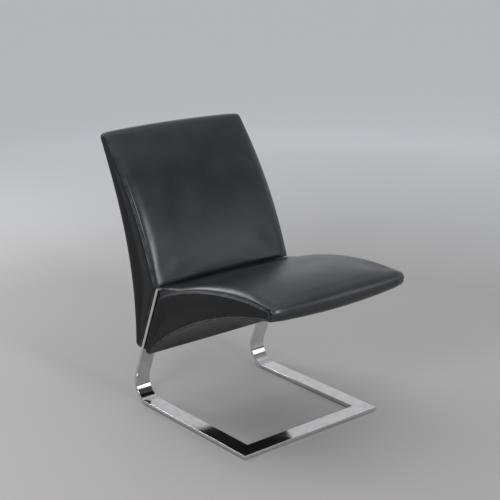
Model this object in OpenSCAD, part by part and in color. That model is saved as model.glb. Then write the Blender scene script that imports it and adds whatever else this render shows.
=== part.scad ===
// Cantilever lounge chair: a flat-bar steel frame that carries a wedge-shaped
// padded seat in front of its leaning uprights and a tall padded back behind them.
// Millimetres. +Z is up and the chair faces -Y. The sitter's right is -X.
// Points in pairs are [y, z] of the side view, measured from the rear of the bends
// and from the floor. slide_to_centre then moves all to the middle of the footprint.

/* [Steel frame] */
// Overall width across the two side bars
frame_w = 510; // [470:5:640]
// Depth of the floor frame, from the front bar's edge to the rear of the bends
floor_d = 532; // [460:1:640]
// Width of the flat bar
bar_w = 50; // [44:1:60]
// Thickness of the flat bar
bar_t = 10; // [8:0.5:12]
// Inside radius of the rear bends
bend_r = 53; // [40:1:70]
// Forward lean of the uprights from plumb, in degrees
lean = 22; // [18:0.5:25]
// Height of the uprights' top ends above the floor
upright_h = 389; // [370:1:420]
// Drop of the cross bar's top edge below the uprights' top ends
cross_drop = 10; // [0:1:16]
// Slit across each side bar at the line where its spring is gathered
spring_slit = 0.5; // [0.4:0.1:1]

/* [Glides] */
// Diameter of a glide's foot
glide_d = 24; // [16:1:32]
// Thickness of a glide under the bar
glide_h = 3; // [2:0.5:5]
// Diameter of the spigot that plugs into the bar
spigot_d = 6; // [4:0.5:8]
// Length of the spigot
spigot_h = 6; // [4:0.5:7]
// Distance of a front glide behind the frame's front edge
glide_in = 72; // [64:1:90]
// Distance of a rear glide in front of the bend
glide_ahead = 30; // [20:1:60]

/* [Leather, foam and boards] */
// Thickness of the leather
leather_t = 2; // [1.5:0.1:2.5]
// Width of the stitched seam round each side
seam_w = 5; // [4:0.5:6]
// Clearance between neighbouring layers
gap = 0.3; // [0.2:0.05:0.5]
// Thickness of the lining against the steel
lining_t = 1.5; // [1:0.1:2]
// How far a side cover lies behind its seam's outer face
side_step = 1; // [0.5:0.1:1.5]
// How far a side cover is drawn in at its middle
side_draw = 3; // [1:0.5:5]
// Thickness of the plywood cheeks
cheek_t = 15; // [12:1:18]
// Thickness of the boards that take the bolts
board_t = 15; // [12:1:18]
// Thickness of the thin curved panels
panel_t = 4; // [3:0.5:5]
// Thickness of the webbing straps
strap_t = 2; // [1:0.1:3]
// Width of a webbing strap
strap_w = 50; // [40:1:60]

/* [Seat] */
// Width of the seat across its side seams
seat_w = 498; // [450:1:510]
// Distance of the front seam ahead of the rear of the bends
seat_reach = 608; // [560:1:680]
// Height of the front seam's upper end
seat_front_h = 454; // [430:1:475]
// Height of the side at the front seam
seat_front_t = 32; // [30:1:38]
// How far the nose swells ahead of the front seam
seat_nose = 12; // [8:1:20]
// Height of the seam's rear end at the uprights
seat_rear_h = 364; // [355:1:372]
// Height of the lower rear edge of the seat
seat_low_h = 178; // [170:1:200]
// Depth of the lower rear edge ahead of the uprights
seat_low_d = 24; // [20:1:30]
// Crown of the seat's top in its middle
seat_crown = 9; // [4:0.5:12]
// Rise of the rolled edge above the side seam
seat_roll = 16; // [8:0.5:18]
// Width of the rolled edge
roll_w = 34; // [24:1:44]
// Foam thickness under the top cover
seat_foam_t = 38; // [30:1:45]

/* [Back] */
// Width of the back across its side seams
back_w = 514; // [460:1:520]
// Height of the back's front top seam above the floor
back_h = 804; // [760:1:880]
// Distance of the top seam behind the rear of the bends
back_reach = 140; // [110:1:190]
// Depth of the top edge between its two seams
back_top_t = 30; // [26:1:36]
// Rise of the front top seam above the rear top seam
back_top_rise = 8; // [4:1:12]
// Height of the back's lowest seam at the rear
back_low_h = 199; // [193:1:212]
// Distance of the rear face at its foot ahead of the rear of the bends
back_low_in = 18; // [10:1:24]
// Crown of the back's front in its middle
back_crown = 9; // [4:0.5:14]
// Rise of the rolled edge at the side seams
back_roll = 7; // [4:0.5:9]
// Crown of the back's rear
back_rear_crown = 3; // [1:0.5:6]
// Foam thickness under the front cover
back_foam_t = 28; // [22:1:32]

/* [Rails] */
// Depth of the seat's front rail and height of the back's top rail
rail_d = 34; // [24:1:44]
// Distance of the front rail behind the front seam
rail_in = 12; // [8:1:24]

/* [Fasteners] */
// Nominal diameter of the bolts and screws
bolt_d = 6; // [5:1:8]
// Clearance on the diameter of a hole that a bolt passes
bolt_clear = 1; // [0.6:0.1:1.4]
// Clearance on the diameter of a tapped hole
thread_clear = 0.1; // [0.05:0.05:0.2]
// Distance of the bolts from the inner edge of an upright
bolt_in = 9; // [8:1:14]
// Distance between the bolts along an upright
bolt_pitch = 52; // [40:1:56]
// Height of the lowest seat bolt above the floor
seat_bolt_h = 218; // [212:1:230]
// Height of the lowest back screw above the floor
back_bolt_h = 248; // [242:1:256]
// Diameter of a washer
washer_d = 14; // [12:1:18]
// Thickness of a washer
washer_t = 1.6; // [1:0.1:2]
// Diameter of a tee nut's flange
tee_d = 19; // [16:1:22]
// Thickness of a tee nut's flange
tee_t = 1.5; // [1:0.1:2]
// Wall of a tee nut's barrel
tee_wall = 1.2; // [1:0.1:1.6]
// Clearance round a bolt's head or a tee nut's flange in a pocket
pocket_clear = 1; // [0.5:0.1:2]

/* [Hidden] */
$fn = 48;

leather = [0.11, 0.11, 0.12];
steel = [0.80, 0.80, 0.82];
zinc = [0.66, 0.66, 0.66];
foam = [0.90, 0.86, 0.70];
plywood = [0.76, 0.60, 0.40];
cloth = [0.20, 0.20, 0.20];
nylon = [0.07, 0.07, 0.07];

// Shapes of the curves: angles in degrees, and shares that say how long each
// curve keeps its end directions
seat_top_rear_angle = 154;
seat_top_front_angle = 183;
seat_top_shares = [0.34, 0.34];
seat_under_front_angle = 352.6;
seat_under_rear_angle = 312;
seat_under_shares = [0.304, 0.28];
seat_corner_shares = [0.5, 0.5];
back_top_rear_angle = 62.5;
back_top_front_angle = 230.3;
back_top_shares = [0.5, 0.5];
back_front_low_angle = 250;
back_front_shares = [0.46, 0.278];
back_rear_low_angle = 92;
back_rear_shares = [0.369, 0.348];
back_corner_shares = [0.5, 0.5];
nose_handle_share = 4 / 3;
// Foam thickness along the covers, as shares of the full thickness
foam_shares = [0.45, 0.8, 1, 0.95, 0.8, 0.5, 0.26, 0.22, 0.22, 0.22, 0.22];
back_foam_shares = [0.3, 0.3, 0.42, 0.65, 0.9, 1, 1, 1, 1, 0.8, 0.5];
// How much of its swell a cover has, read along it from its first point to its last
seat_swell_shares = [0, 0.45, 0.8, 1, 1, 1, 1, 1, 1, 0.65, 0];
back_swell_shares = [0, 0.3, 0.35, 0.45, 0.75, 0.95, 1, 1, 1, 0.85, 0];
rear_swell_shares = [0, 0.7, 1, 1, 1, 0.7, 0];
no_swell_shares = [0, 0];
// Numbers of steps along the curves and across the covers
top_steps = 13;
nose_steps = 8;
corner_steps = 4;
crest_steps = 6;
front_steps = 14;
roll_steps = 3;
mid_steps = 4;
strap_count = 5;
back_strap_count = 6;
// One overrun serves all cuts
overrun = 10;

half_frame = frame_w / 2;
half_slit = spring_slit / 2;
screw_head_d = 2 * bolt_d;
screw_head_h = bolt_d / 2;
sink_run = screw_head_h / 4;
bolt_head_d = 1.8 * bolt_d;
bolt_head_h = 0.65 * bolt_d;
tee_barrel = bolt_d + thread_clear + 2 * tee_wall;
bend_out = bend_r + bar_t;
bend_c = [-bend_out, glide_h + bend_out];
// Direction of the uprights in the side view
upright_angle = lean + 90;

function dir(a) = [cos(a), sin(a)];
function turn_right(v) = [v[1], -v[0]];
function unit(v) = v / norm(v);
function flip(p) = [for (i = [len(p) - 1:-1:0]) p[i]];
function cut_first(p) = [for (i = [1:len(p) - 1]) p[i]];
function mix(a, b, k) = a + (b - a) * k;

// A table of shares read at a place k from 0 to 1, with straight lines between
function share_at(shares, k) =
    let (x = k * (len(shares) - 1), i = min(floor(x), len(shares) - 2))
    mix(shares[i], shares[i + 1], x - i);

// A smooth curve from p to q that leaves at angle a and arrives at angle b
function curve(p, q, a, b, pulls, steps) =
    let (c = p + pulls[0] * dir(a), d = q - pulls[1] * dir(b))
    [for (i = [0:steps]) let (t = i / steps, s = 1 - t)
        s * s * s * p + 3 * s * s * t * c + 3 * s * t * t * d + t * t * t * q];
function pulls(p, q, shares) = norm(q - p) * shares;

// The outward normals of an open run of points that goes anticlockwise
function normals(p) = [for (i = [0:len(p) - 1])
    let (a = p[max(i - 1, 0)], b = p[min(i + 1, len(p) - 1)]) turn_right(unit(b - a))];
// A run of points moved inwards by depth d, or by one depth for each point
function inset(p, d) =
    let (n = normals(p)) [for (i = [0:len(p) - 1]) p[i] - n[i] * (is_list(d) ? d[i] : d)];
// A closed outline moved inwards by depth d
function inset_ring(p, d) =
    let (n = len(p)) [for (i = [0:n - 1])
        let (a = unit(p[i] - p[(i + n - 1) % n]), b = unit(p[(i + 1) % n] - p[i]),
            m = unit(turn_right(a) + turn_right(b)), k = max(m * turn_right(a), 0.5))
        p[i] - m * d / k];

// Places beside an upright: s runs up its straight and q out of its front face
function on_upright(s, q) = bend_c + (bend_r + q) * dir(lean) + s * dir(upright_angle);
function s_at(h, q) = (h - bend_c[1] - (bend_r + q) * sin(lean)) / cos(lean);
s_top = s_at(upright_h, 0);
s_cross = s_at(upright_h - cross_drop, 0);
q_seat = -gap;
q_back = bar_t + gap;

// Seat outline, anticlockwise from the top rear seam over the nose and back below
seat_a = on_upright(s_at(seat_rear_h, q_seat), q_seat);
seat_b = [-seat_reach, seat_front_h];
seat_c = [-seat_reach, seat_front_h - seat_front_t];
seat_low_s = s_at(seat_low_h, q_seat);
seat_d = on_upright(seat_low_s, q_seat) - [seat_low_d, seat_low_d / 4];
seat_e = on_upright(seat_low_s + seat_low_d / 4, q_seat);
nose_handle = seat_nose * nose_handle_share;
seat_top = curve(seat_a, seat_b, seat_top_rear_angle, seat_top_front_angle,
    pulls(seat_a, seat_b, seat_top_shares), top_steps);
seat_nose_line = curve(seat_b, seat_c, seat_top_front_angle, seat_under_front_angle,
    [nose_handle, nose_handle], nose_steps);
seat_under = curve(seat_c, seat_d, seat_under_front_angle, seat_under_rear_angle,
    pulls(seat_c, seat_d, seat_under_shares), top_steps);
seat_corner = curve(seat_d, seat_e, seat_under_rear_angle, upright_angle,
    pulls(seat_d, seat_e, seat_corner_shares), corner_steps);
seat_top_run = concat(seat_top, cut_first(seat_nose_line));
seat_low_run = concat(seat_under, cut_first(seat_corner));
seat_ring = concat(seat_top_run, cut_first(seat_low_run));

// Back outline, anticlockwise from the rear top seam over the top and down the front
back_g = [back_reach, back_h - back_top_rise];
back_f = [back_reach - back_top_t, back_h];
back_a = on_upright(s_at(upright_h, q_back), q_back);
back_low_pt = [-back_low_in, back_low_h];
back_i = on_upright(s_at(back_low_h - back_low_in / 2, q_back), q_back);
back_crest = curve(back_g, back_f, back_top_rear_angle, back_top_front_angle,
    pulls(back_g, back_f, back_top_shares), crest_steps);
back_front = curve(back_f, back_a, back_top_front_angle, back_front_low_angle,
    pulls(back_f, back_a, back_front_shares), front_steps);
back_corner = curve(back_i, back_low_pt, upright_angle + 180, back_rear_low_angle,
    pulls(back_i, back_low_pt, back_corner_shares), corner_steps);
back_rear = curve(back_low_pt, back_g, back_rear_low_angle, back_top_rear_angle,
    pulls(back_low_pt, back_g, back_rear_shares), front_steps);
back_front_run = concat(back_crest, cut_first(back_front));
back_rear_run = concat(back_corner, cut_first(back_rear));
back_ring = concat(back_front_run, [for (p = back_rear_run) if (p != back_g) p]);

// Shortens an open run a little at its first and last points
function trimmed(p, g0, g1) = let (n = len(p)) [for (i = [0:n - 1])
    i == 0 ? p[0] + g0 * unit(p[1] - p[0]) :
    i == n - 1 ? p[i] + g1 * unit(p[i - 1] - p[i]) : p[i]];
// The length of a run of points, and the place at a share of it
function run_length(p, i = 0) =
    i > len(p) - 2 ? 0 : norm(p[i + 1] - p[i]) + run_length(p, i + 1);
function at_length(p, s, i = 0) =
    let (leg = norm(p[i + 1] - p[i]))
    i > len(p) - 3 || s < leg ? p[i] + unit(p[i + 1] - p[i]) * s : at_length(p, s - leg, i + 1);
function at_share(p, k) = at_length(p, k * run_length(p));

// Half widths of the layers of a unit whose seams are w apart
function cover_half(w) = w / 2 - seam_w - gap;
function core_half(w) = w / 2 - side_step - side_draw - leather_t - gap;
skin = leather_t + gap;

// Lays a side-view shape across the chair, from x0 to x1
module across(x0, x1) {
    translate([x0, 0, 0]) rotate([90, 0, 90]) linear_extrude(x1 - x0) children();
}
// A flat plate beside the upright, in the upright's own s and q
module upright_plate(x0, x1, s0, s1, q0, q1) {
    translate([x0, 0, 0]) rotate([90, 0, 90]) linear_extrude(x1 - x0)
        polygon([on_upright(s0, q0), on_upright(s0, q1), on_upright(s1, q1), on_upright(s1, q0)]);
}
// Stands a shape on a place beside the upright, its axis pointing out of the rear face
module at_upright(x, s, q) {
    p = on_upright(s, q);
    translate([x, p[0], p[1]]) rotate([upright_angle - 180, 0, 0]) children();
}
// A band of even thickness that follows a run of points
module band(run, depth, thick) {
    polygon(concat(inset(run, depth), flip(inset(run, depth + thick))));
}
// A closed mesh over a grid of points: two faces of rows by columns and the rim
module sheet(outer, inner) {
    rows = len(outer);
    cols = len(outer[0]);
    n = rows * cols;
    flat_outer = [for (r = outer) for (p = r) p];
    flat_inner = [for (r = inner) for (p = r) p];
    faces_out = [for (i = [0:rows - 2]) for (j = [0:cols - 2]) let (a = i * cols + j)
        each [[a, a + 1, a + cols], [a + 1, a + cols + 1, a + cols]]];
    faces_in = [for (f = faces_out) [f[0] + n, f[2] + n, f[1] + n]];
    rim = concat(
        [for (j = [0:cols - 1]) j],
        [for (i = [1:rows - 1]) i * cols + cols - 1],
        [for (j = [cols - 2:-1:0]) (rows - 1) * cols + j],
        [for (i = [rows - 2:-1:1]) i * cols]);
    faces_rim = [for (k = [0:len(rim) - 1]) let (a = rim[k], b = rim[(k + 1) % len(rim)])
        each [[b, a, a + n], [b, a + n, b + n]]];
    polyhedron(concat(flat_outer, flat_inner), concat(faces_out, faces_in, faces_rim));
}
// Places across a cover: close together over the rolled edges, wide in the middle
function stations(half) =
    let (edge = [for (k = [0:roll_steps]) half - roll_w * (1 - cos(90 * k / roll_steps))],
        inner = [for (k = [1:mid_steps]) (half - roll_w) * (1 - k / mid_steps)],
        right = concat(edge, inner))
    concat([for (x = right) -x], [for (i = [len(right) - 2:-1:0]) right[i]]);
// Swell of a cover at a place across it
function swell(x, half, crown, roll) =
    let (k = x / half, e = min((half - abs(x)) / roll_w, 1))
    crown * (1 - k * k) + roll * sqrt(max(1 - (1 - e) * (1 - e), 0));
// The grid of one face of a padded layer, depth inside the swollen skin
function grid(run, half, depth, crown, roll, shares) =
    let (nrm = normals(run), n = len(run) - 1, xs = stations(half))
    [for (i = [0:n]) [for (x = xs)
        let (d = is_list(depth) ? depth[i] : depth,
            out = swell(x, half, crown, roll) * share_at(shares, i / n) - d,
            p = run[i] + nrm[i] * out)
        [x, p[0], p[1]]]];

// The steel bar bent about the bend's centre, swept by an angle from its end at end_a,
// and the straight of length s that may follow that end
module bend(x0, end_a, angle, s) {
    translate([x0, bend_c[0], bend_c[1]]) rotate([90, 0, 90]) rotate([0, 0, end_a]) {
        rotate_extrude(angle = angle, $fn = 96)
            translate([bend_r, 0]) square([bar_t, bar_w]);
        if (s > 0) translate([bend_r, 0, 0]) cube([bar_t, s, bar_w]);
    }
}
module floor_bar(side) {
    x0 = side < 0 ? -half_frame : half_frame - bar_w;
    outer_x = side * half_frame;
    inner_x = side * (half_frame - bar_w);
    difference() {
        union() {
            translate([0, 0, glide_h]) linear_extrude(bar_t)
                polygon([[outer_x, -floor_d], [outer_x, bend_c[0]],
                    [inner_x, bend_c[0]], [inner_x, -floor_d + bar_w]]);
            difference() {
                bend(x0, -90, 90, 0);
                translate([x0 - overrun, bend_c[0], bend_c[1] - half_slit])
                    cube([bar_w + 2 * overrun, bend_out + overrun, overrun]);
            }
        }
        for (p = glide_places) if (p[0] * side > 0) spigot_hole(p);
    }
}
// Front and rear glides of both sides
glide_places = [for (side = [-1, 1]) for (y = [-floor_d + glide_in, bend_c[0] - glide_ahead])
    [side * (half_frame - bar_w / 2), y]];
module spigot_hole(p) {
    translate([p[0], p[1], glide_h - overrun])
        cylinder(h = overrun + spigot_h + gap, d = spigot_d + thread_clear);
}
module right_floor_bar() { color(steel) floor_bar(-1); }
module left_floor_bar() { color(steel) floor_bar(1); }
module front_floor_bar() {
    color(steel) translate([0, 0, glide_h]) linear_extrude(bar_t)
        polygon([[-half_frame, -floor_d], [half_frame, -floor_d],
            [half_frame - bar_w, -floor_d + bar_w], [-half_frame + bar_w, -floor_d + bar_w]]);
}
module floor_glides() {
    color(nylon) for (p = glide_places) translate([p[0], p[1], 0]) {
        cylinder(h = glide_h, d = glide_d);
        cylinder(h = glide_h + spigot_h, d = spigot_d);
    }
}

// Places of the fasteners along an upright, and across the chair. The seat's bolts stand
// further in where a narrow seat has less room for their washers
bolt_x = half_frame - bar_w + bolt_in;
seat_bolt_x = min(bolt_x, core_half(seat_w) - washer_d / 2 - pocket_clear);
seat_bolt_places = [for (k = [0:2]) s_at(seat_bolt_h, 0) + k * bolt_pitch];
back_bolt_places = [for (k = [0:1]) s_at(back_bolt_h, 0) + k * bolt_pitch];
module each_seat_bolt() {
    for (side = [-1, 1]) for (s = seat_bolt_places)
        at_upright(side * seat_bolt_x, s, 0) children();
}
module each_back_screw() {
    for (side = [-1, 1]) for (s = back_bolt_places) at_upright(side * bolt_x, s, 0) children();
}
module upright(side) {
    x0 = side < 0 ? -half_frame : half_frame - bar_w;
    difference() {
        bend(x0, lean, -lean, s_top);
        translate([x0 - overrun, bend_c[0], bend_c[1] + half_slit - overrun])
            cube([bar_w + 2 * overrun, bend_out + overrun, overrun]);
        each_seat_bolt() translate([0, 0, -overrun])
            cylinder(h = bar_t + 2 * overrun, d = bolt_d + thread_clear);
        each_back_screw() {
            translate([0, 0, -overrun])
                cylinder(h = bar_t + 2 * overrun, d = bolt_d + bolt_clear);
            countersink();
        }
    }
}
module right_upright() { color(steel) upright(-1); }
module left_upright() { color(steel) upright(1); }
module top_cross_bar() {
    color(steel) upright_plate(-half_frame + bar_w, half_frame - bar_w,
        s_cross - bar_w, s_cross, 0, bar_t);
}

// Grids of the swollen covers and of the foam under them
seat_half = cover_half(seat_w);
back_half = cover_half(back_w);
function seat_grid(half, depth) =
    grid(seat_top_run, half, depth, seat_crown, seat_roll, seat_swell_shares);
function back_grid(half, depth) =
    grid(back_front_run, half, depth, back_crown, back_roll, back_swell_shares);
function rear_grid(half, depth) =
    grid(trimmed(back_rear_run, 2 * gap, 2 * gap), half, depth, back_rear_crown, 0,
        rear_swell_shares);
function flat_grid(run, half, depths) = grid(run, half, depths, 0, 0, no_swell_shares);
seat_foam_depths = [for (i = [0:len(seat_top_run) - 1])
    skin + seat_foam_t * share_at(foam_shares, i / (len(seat_top_run) - 1))];
back_foam_depths = [for (i = [0:len(back_front_run) - 1])
    skin + back_foam_t * share_at(back_foam_shares, i / (len(back_front_run) - 1))];
// The footprint runs from the seat's nose to the back's top
footprint_front = min([for (r = seat_grid(seat_half, 0)) for (p = r) p[1]]);
footprint_rear = max([for (r = concat(back_grid(back_half, 0), rear_grid(back_half, 0)))
    for (p = r) p[1]]);
slide_to_centre = [0, -(footprint_front + footprint_rear) / 2, 0];

// One strip of triangles between two rings of n points that start at a and b
function ring_strip(n, a, b) = [for (i = [0:n - 1]) let (k = (i + 1) % n)
    each [[a + i, b + i, b + k], [a + i, b + k, a + k]]];
// A flat cap over a ring of n points: ribs join the m steps from point i to those
// before point j, and fans close the two ends
function cap(n, i, j, m) = concat(
    [for (k = [0:m - 1]) each [[i + k, i + k + 1, j - k - 1], [i + k, j - k - 1, j - k]]],
    [for (k = [j + 1:i + n - 1]) [j, k, k + 1]],
    [for (k = [i + m + 1:j - m - 1]) [i + m, k, k + 1]]);
function cap_from(faces, n, start) = [for (f = faces) [for (v = f) start + v % n]];
// A side cover: a dish of leather that is drawn in between its seams
module side_cover(ring, w, side, faces) {
    n = len(ring);
    edge = inset_ring(ring, seam_w + gap);
    dish = inset_ring(ring, 2 * seam_w + gap);
    x0 = w / 2 - side_step;
    x1 = x0 - side_draw;
    pts = concat([for (p = edge) [x0, p[0], p[1]]], [for (p = dish) [x1, p[0], p[1]]],
        [for (p = edge) [x0 - leather_t, p[0], p[1]]],
        [for (p = dish) [x1 - leather_t, p[0], p[1]]]);
    mirror([side < 0 ? 1 : 0, 0, 0]) polyhedron(pts, concat(
        ring_strip(n, 0, n), ring_strip(n, 3 * n, 2 * n), ring_strip(n, 2 * n, 0),
        [for (f = cap_from(faces, n, n)) flip(f)], cap_from(faces, n, 3 * n)));
}
// The stitched seam that runs round a side
module seam(ring, w, side) {
    x = side < 0 ? -w / 2 : w / 2 - seam_w;
    across(x, x + seam_w) difference() {
        polygon(ring);
        polygon(inset_ring(ring, seam_w));
    }
}
// Straight plates beside the uprights, and the holes through them
module lining(half, s0, s1, q0) {
    upright_plate(-half, half, s0, s1, q0, q0 + lining_t);
}
module through(q0, d, clear) {
    translate([0, 0, q0]) cylinder(h = board_t + 2 * overrun, d = d + clear);
}

seat_board_q = q_seat - lining_t - gap;
back_board_q = q_back + lining_t + gap;
seat_core = core_half(seat_w);
back_core = core_half(back_w);
low_skin = skin + panel_t + gap;
strap_room = strap_t + 2 * gap;
seat_s0 = s_at(seat_low_h, q_seat) + seat_low_d / 4;
seat_s1 = s_at(seat_rear_h, q_seat);
back_s0 = s_at(back_low_h - back_low_in / 2, q_back);
back_s1 = s_at(upright_h, q_back);

// Hollow inside the seat's padding, where its boards stand
module seat_core_2d() {
    core_s0 = seat_s0 + leather_t;
    intersection() {
        polygon(concat(inset(seat_top, [for (i = [0:top_steps]) seat_foam_depths[i] + strap_room]),
            [[-seat_reach, 0], [0, 0], [0, seat_rear_h - seat_foam_depths[0]]]));
        polygon(concat(flip(inset(seat_under, low_skin)),
            [[-seat_reach, seat_front_h + seat_front_t], [0, seat_front_h + seat_front_t],
                [0, seat_low_h]]));
        polygon([on_upright(core_s0, seat_board_q), on_upright(2 * s_top, seat_board_q),
            on_upright(2 * s_top, -2 * seat_reach), on_upright(core_s0, -2 * seat_reach)]);
        translate([-seat_reach + rail_in, 0]) square([seat_reach, 2 * seat_front_h]);
    }
}
// Hollow inside the back's padding
module back_core_2d() {
    top_h = back_h - back_top_t;
    intersection() {
        polygon(concat(inset(back_front, [for (i = [0:front_steps])
            back_foam_depths[i + crest_steps] + strap_room]),
            [[back_a[0], 0], [2 * back_reach, 0], [2 * back_reach, back_h]]));
        polygon(concat(inset(back_rear, low_skin),
            [[-back_h, back_h], [-back_h, 0], [back_low_pt[0], 0]]));
        polygon([on_upright(0, back_board_q), on_upright(0, back_h),
            on_upright(2 * back_h, back_h), on_upright(2 * back_h, back_board_q)]);
        translate([-back_h, back_low_h]) square([2 * back_h, top_h - back_low_h]);
    }
}
// The part of the core between two places across the chair, cut to a block
module seat_board(x0, x1) {
    intersection() {
        across(x0, x1) seat_core_2d();
        children();
    }
}
module back_board(x0, x1) {
    intersection() {
        across(x0, x1) back_core_2d();
        children();
    }
}

module seat_top_cover() {
    color(leather) sheet(seat_grid(seat_half, 0), seat_grid(seat_half, leather_t));
}
module seat_under_cover() {
    color(leather) across(-seat_half, seat_half)
        band(trimmed(seat_low_run, 2 * gap, 2 * gap), 0, leather_t);
}
module seat_rear_lining() {
    color(cloth) difference() {
        lining(seat_half, seat_s0 + 2 * gap, seat_s1 - 2 * leather_t, q_seat - lining_t);
        each_seat_bolt() through(-board_t - overrun, bolt_d, bolt_clear);
    }
}
seat_cap = cap(len(seat_ring), 0, 2 * top_steps + nose_steps, top_steps);
module seat_side_cover_right() { color(leather) side_cover(seat_ring, seat_w, -1, seat_cap); }
module seat_side_cover_left() { color(leather) side_cover(seat_ring, seat_w, 1, seat_cap); }
module seat_seam_right() { color(leather) seam(seat_ring, seat_w, -1); }
module seat_seam_left() { color(leather) seam(seat_ring, seat_w, 1); }
module seat_foam() {
    color(foam) sheet(seat_grid(seat_core, skin),
        flat_grid(seat_top_run, seat_core, seat_foam_depths));
}
// Straps that run from the rear board to the front rail
module seat_straps() {
    room = 2 * (seat_core - cheek_t);
    depths = [for (i = [0:top_steps]) seat_foam_depths[i] + gap];
    line = inset(seat_top, depths);
    below = inset(seat_top, [for (d = depths) d + strap_t]);
    color(cloth) for (k = [0:strap_count - 1]) {
        x = -room / 2 + room * (k + 0.5) / strap_count;
        across(x - strap_w / 2, x + strap_w / 2) polygon(concat(line, flip(below)));
    }
}
// A cheek stands on the rear board and has pockets where a bolt's head would meet it
module seat_cheek(x0) {
    front_q = seat_board_q - board_t;
    pocket_h = washer_t + bolt_head_h + pocket_clear;
    difference() {
        across(x0, x0 + cheek_t) seat_core_2d();
        upright_plate(x0 - overrun, x0 + cheek_t + overrun, 0, 2 * s_top,
            front_q, seat_board_q + overrun);
        each_seat_bolt() translate([0, 0, front_q - pocket_h])
            cylinder(h = pocket_h + overrun, d = washer_d + 2 * pocket_clear);
    }
}
module seat_cheek_right() { color(plywood) seat_cheek(-seat_core); }
module seat_cheek_left() { color(plywood) seat_cheek(seat_core - cheek_t); }
module seat_rear_board() {
    color(plywood) difference() {
        seat_board(-seat_core, seat_core)
            upright_plate(-seat_core, seat_core, 0, s_top, seat_board_q - board_t, seat_board_q);
        each_seat_bolt() through(-board_t - overrun, bolt_d, bolt_clear);
    }
}
module seat_front_rail() {
    half = seat_core - cheek_t;
    color(plywood) seat_board(-half, half)
        translate([-half, -seat_reach, 0]) cube([2 * half, rail_in + rail_d, 2 * seat_front_h]);
}
module seat_under_panel() {
    color(plywood) across(-seat_core, seat_core)
        band(trimmed(seat_under, 3 * leather_t, leather_t), skin, panel_t);
}

module back_front_cover() {
    color(leather) sheet(back_grid(back_half, 0), back_grid(back_half, leather_t));
}
module back_rear_cover() {
    color(leather) sheet(rear_grid(back_half, 0), rear_grid(back_half, leather_t));
}
module back_lining() {
    color(cloth) difference() {
        lining(back_half, back_s0 + 2 * gap, back_s1 - 2 * leather_t, q_back);
        each_back_screw() through(0, bolt_d, bolt_clear);
    }
}
back_cap = cap(len(back_ring), crest_steps, len(back_ring), front_steps);
module back_side_cover_right() { color(leather) side_cover(back_ring, back_w, -1, back_cap); }
module back_side_cover_left() { color(leather) side_cover(back_ring, back_w, 1, back_cap); }
module back_seam_right() { color(leather) seam(back_ring, back_w, -1); }
module back_seam_left() { color(leather) seam(back_ring, back_w, 1); }
module back_foam() {
    color(foam) sheet(back_grid(back_core, skin),
        flat_grid(back_front_run, back_core, back_foam_depths));
}
// Straps that run across from cheek to cheek, and bend with the front between the top
// rail and the foot
module back_straps() {
    depths = [for (i = [0:front_steps]) back_foam_depths[i + crest_steps] + gap];
    line = inset(back_front, depths);
    below = inset(back_front, [for (d = depths) d + strap_t]);
    room = run_length(line) - 2 * strap_w;
    color(cloth) for (k = [0:back_strap_count - 1]) {
        mid = strap_w + room * k / (back_strap_count - 1);
        places = [for (j = [-2:2]) (mid + j * strap_w / 4) / run_length(line)];
        across(-back_core, back_core) polygon(concat([for (k = places) at_share(line, k)],
            flip([for (k = places) at_share(below, k)])));
    }
}
// A cheek stands on the lower board and has pockets where a tee nut would meet it
module back_cheek(x0) {
    rear_q = back_board_q + board_t;
    difference() {
        across(x0, x0 + cheek_t) back_core_2d();
        upright_plate(x0 - overrun, x0 + cheek_t + overrun, -overrun, s_top - bar_w,
            back_board_q - overrun, rear_q);
        each_back_screw() translate([0, 0, rear_q - overrun])
            cylinder(h = overrun + tee_t + pocket_clear, d = tee_d + 2 * pocket_clear);
    }
}
module back_cheek_right() { color(plywood) back_cheek(-back_core); }
module back_cheek_left() { color(plywood) back_cheek(back_core - cheek_t); }
module back_lower_board() {
    color(plywood) difference() {
        back_board(-back_core, back_core) upright_plate(-back_core, back_core,
            0, s_top - bar_w, back_board_q, back_board_q + board_t);
        each_back_screw() through(0, tee_barrel, thread_clear);
    }
}
module back_top_rail() {
    half = back_core - cheek_t;
    color(plywood) back_board(-half, half)
        translate([-half, -back_h, back_h - back_top_t - rail_d]) cube([2 * half, 2 * back_h, rail_d]);
}
module back_rear_panel() {
    color(plywood) across(-back_core, back_core) band(trimmed(back_rear, 0, skin), skin, panel_t);
}

module seat_bolts() {
    color(zinc) each_seat_bolt() {
        under_head = seat_board_q - board_t - washer_t - gap;
        translate([0, 0, under_head]) cylinder(h = bar_t - thread_clear - under_head, d = bolt_d);
        translate([0, 0, under_head - bolt_head_h]) cylinder(h = bolt_head_h, d = bolt_head_d, $fn = 6);
    }
}
module seat_washers() {
    color(zinc) each_seat_bolt() translate([0, 0, seat_board_q - board_t - washer_t - gap / 2])
        difference() {
            cylinder(h = washer_t, d = washer_d);
            translate([0, 0, -overrun]) cylinder(h = 3 * overrun, d = bolt_d + bolt_clear / 2);
        }
}
// The cone cut for a countersunk head, which runs past the bar's face and into the hole
module countersink() {
    widening = (screw_head_d - bolt_d) * sink_run / screw_head_h;
    translate([0, 0, -sink_run]) cylinder(h = screw_head_h + 2 * sink_run,
        d1 = screw_head_d + bolt_clear + widening, d2 = bolt_d + bolt_clear - widening);
}
module back_screws() {
    color(zinc) each_back_screw() {
        cylinder(h = back_board_q + board_t + tee_t, d = bolt_d);
        cylinder(h = screw_head_h, d1 = screw_head_d, d2 = bolt_d);
    }
}
module back_tee_nuts() {
    color(zinc) each_back_screw() translate([0, 0, back_board_q]) difference() {
        union() {
            translate([0, 0, tee_t]) cylinder(h = board_t - tee_t + gap, d = tee_barrel);
            translate([0, 0, board_t + gap / 2]) cylinder(h = tee_t, d = tee_d);
        }
        translate([0, 0, -overrun]) cylinder(h = board_t + 3 * overrun, d = bolt_d + thread_clear);
    }
}

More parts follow.
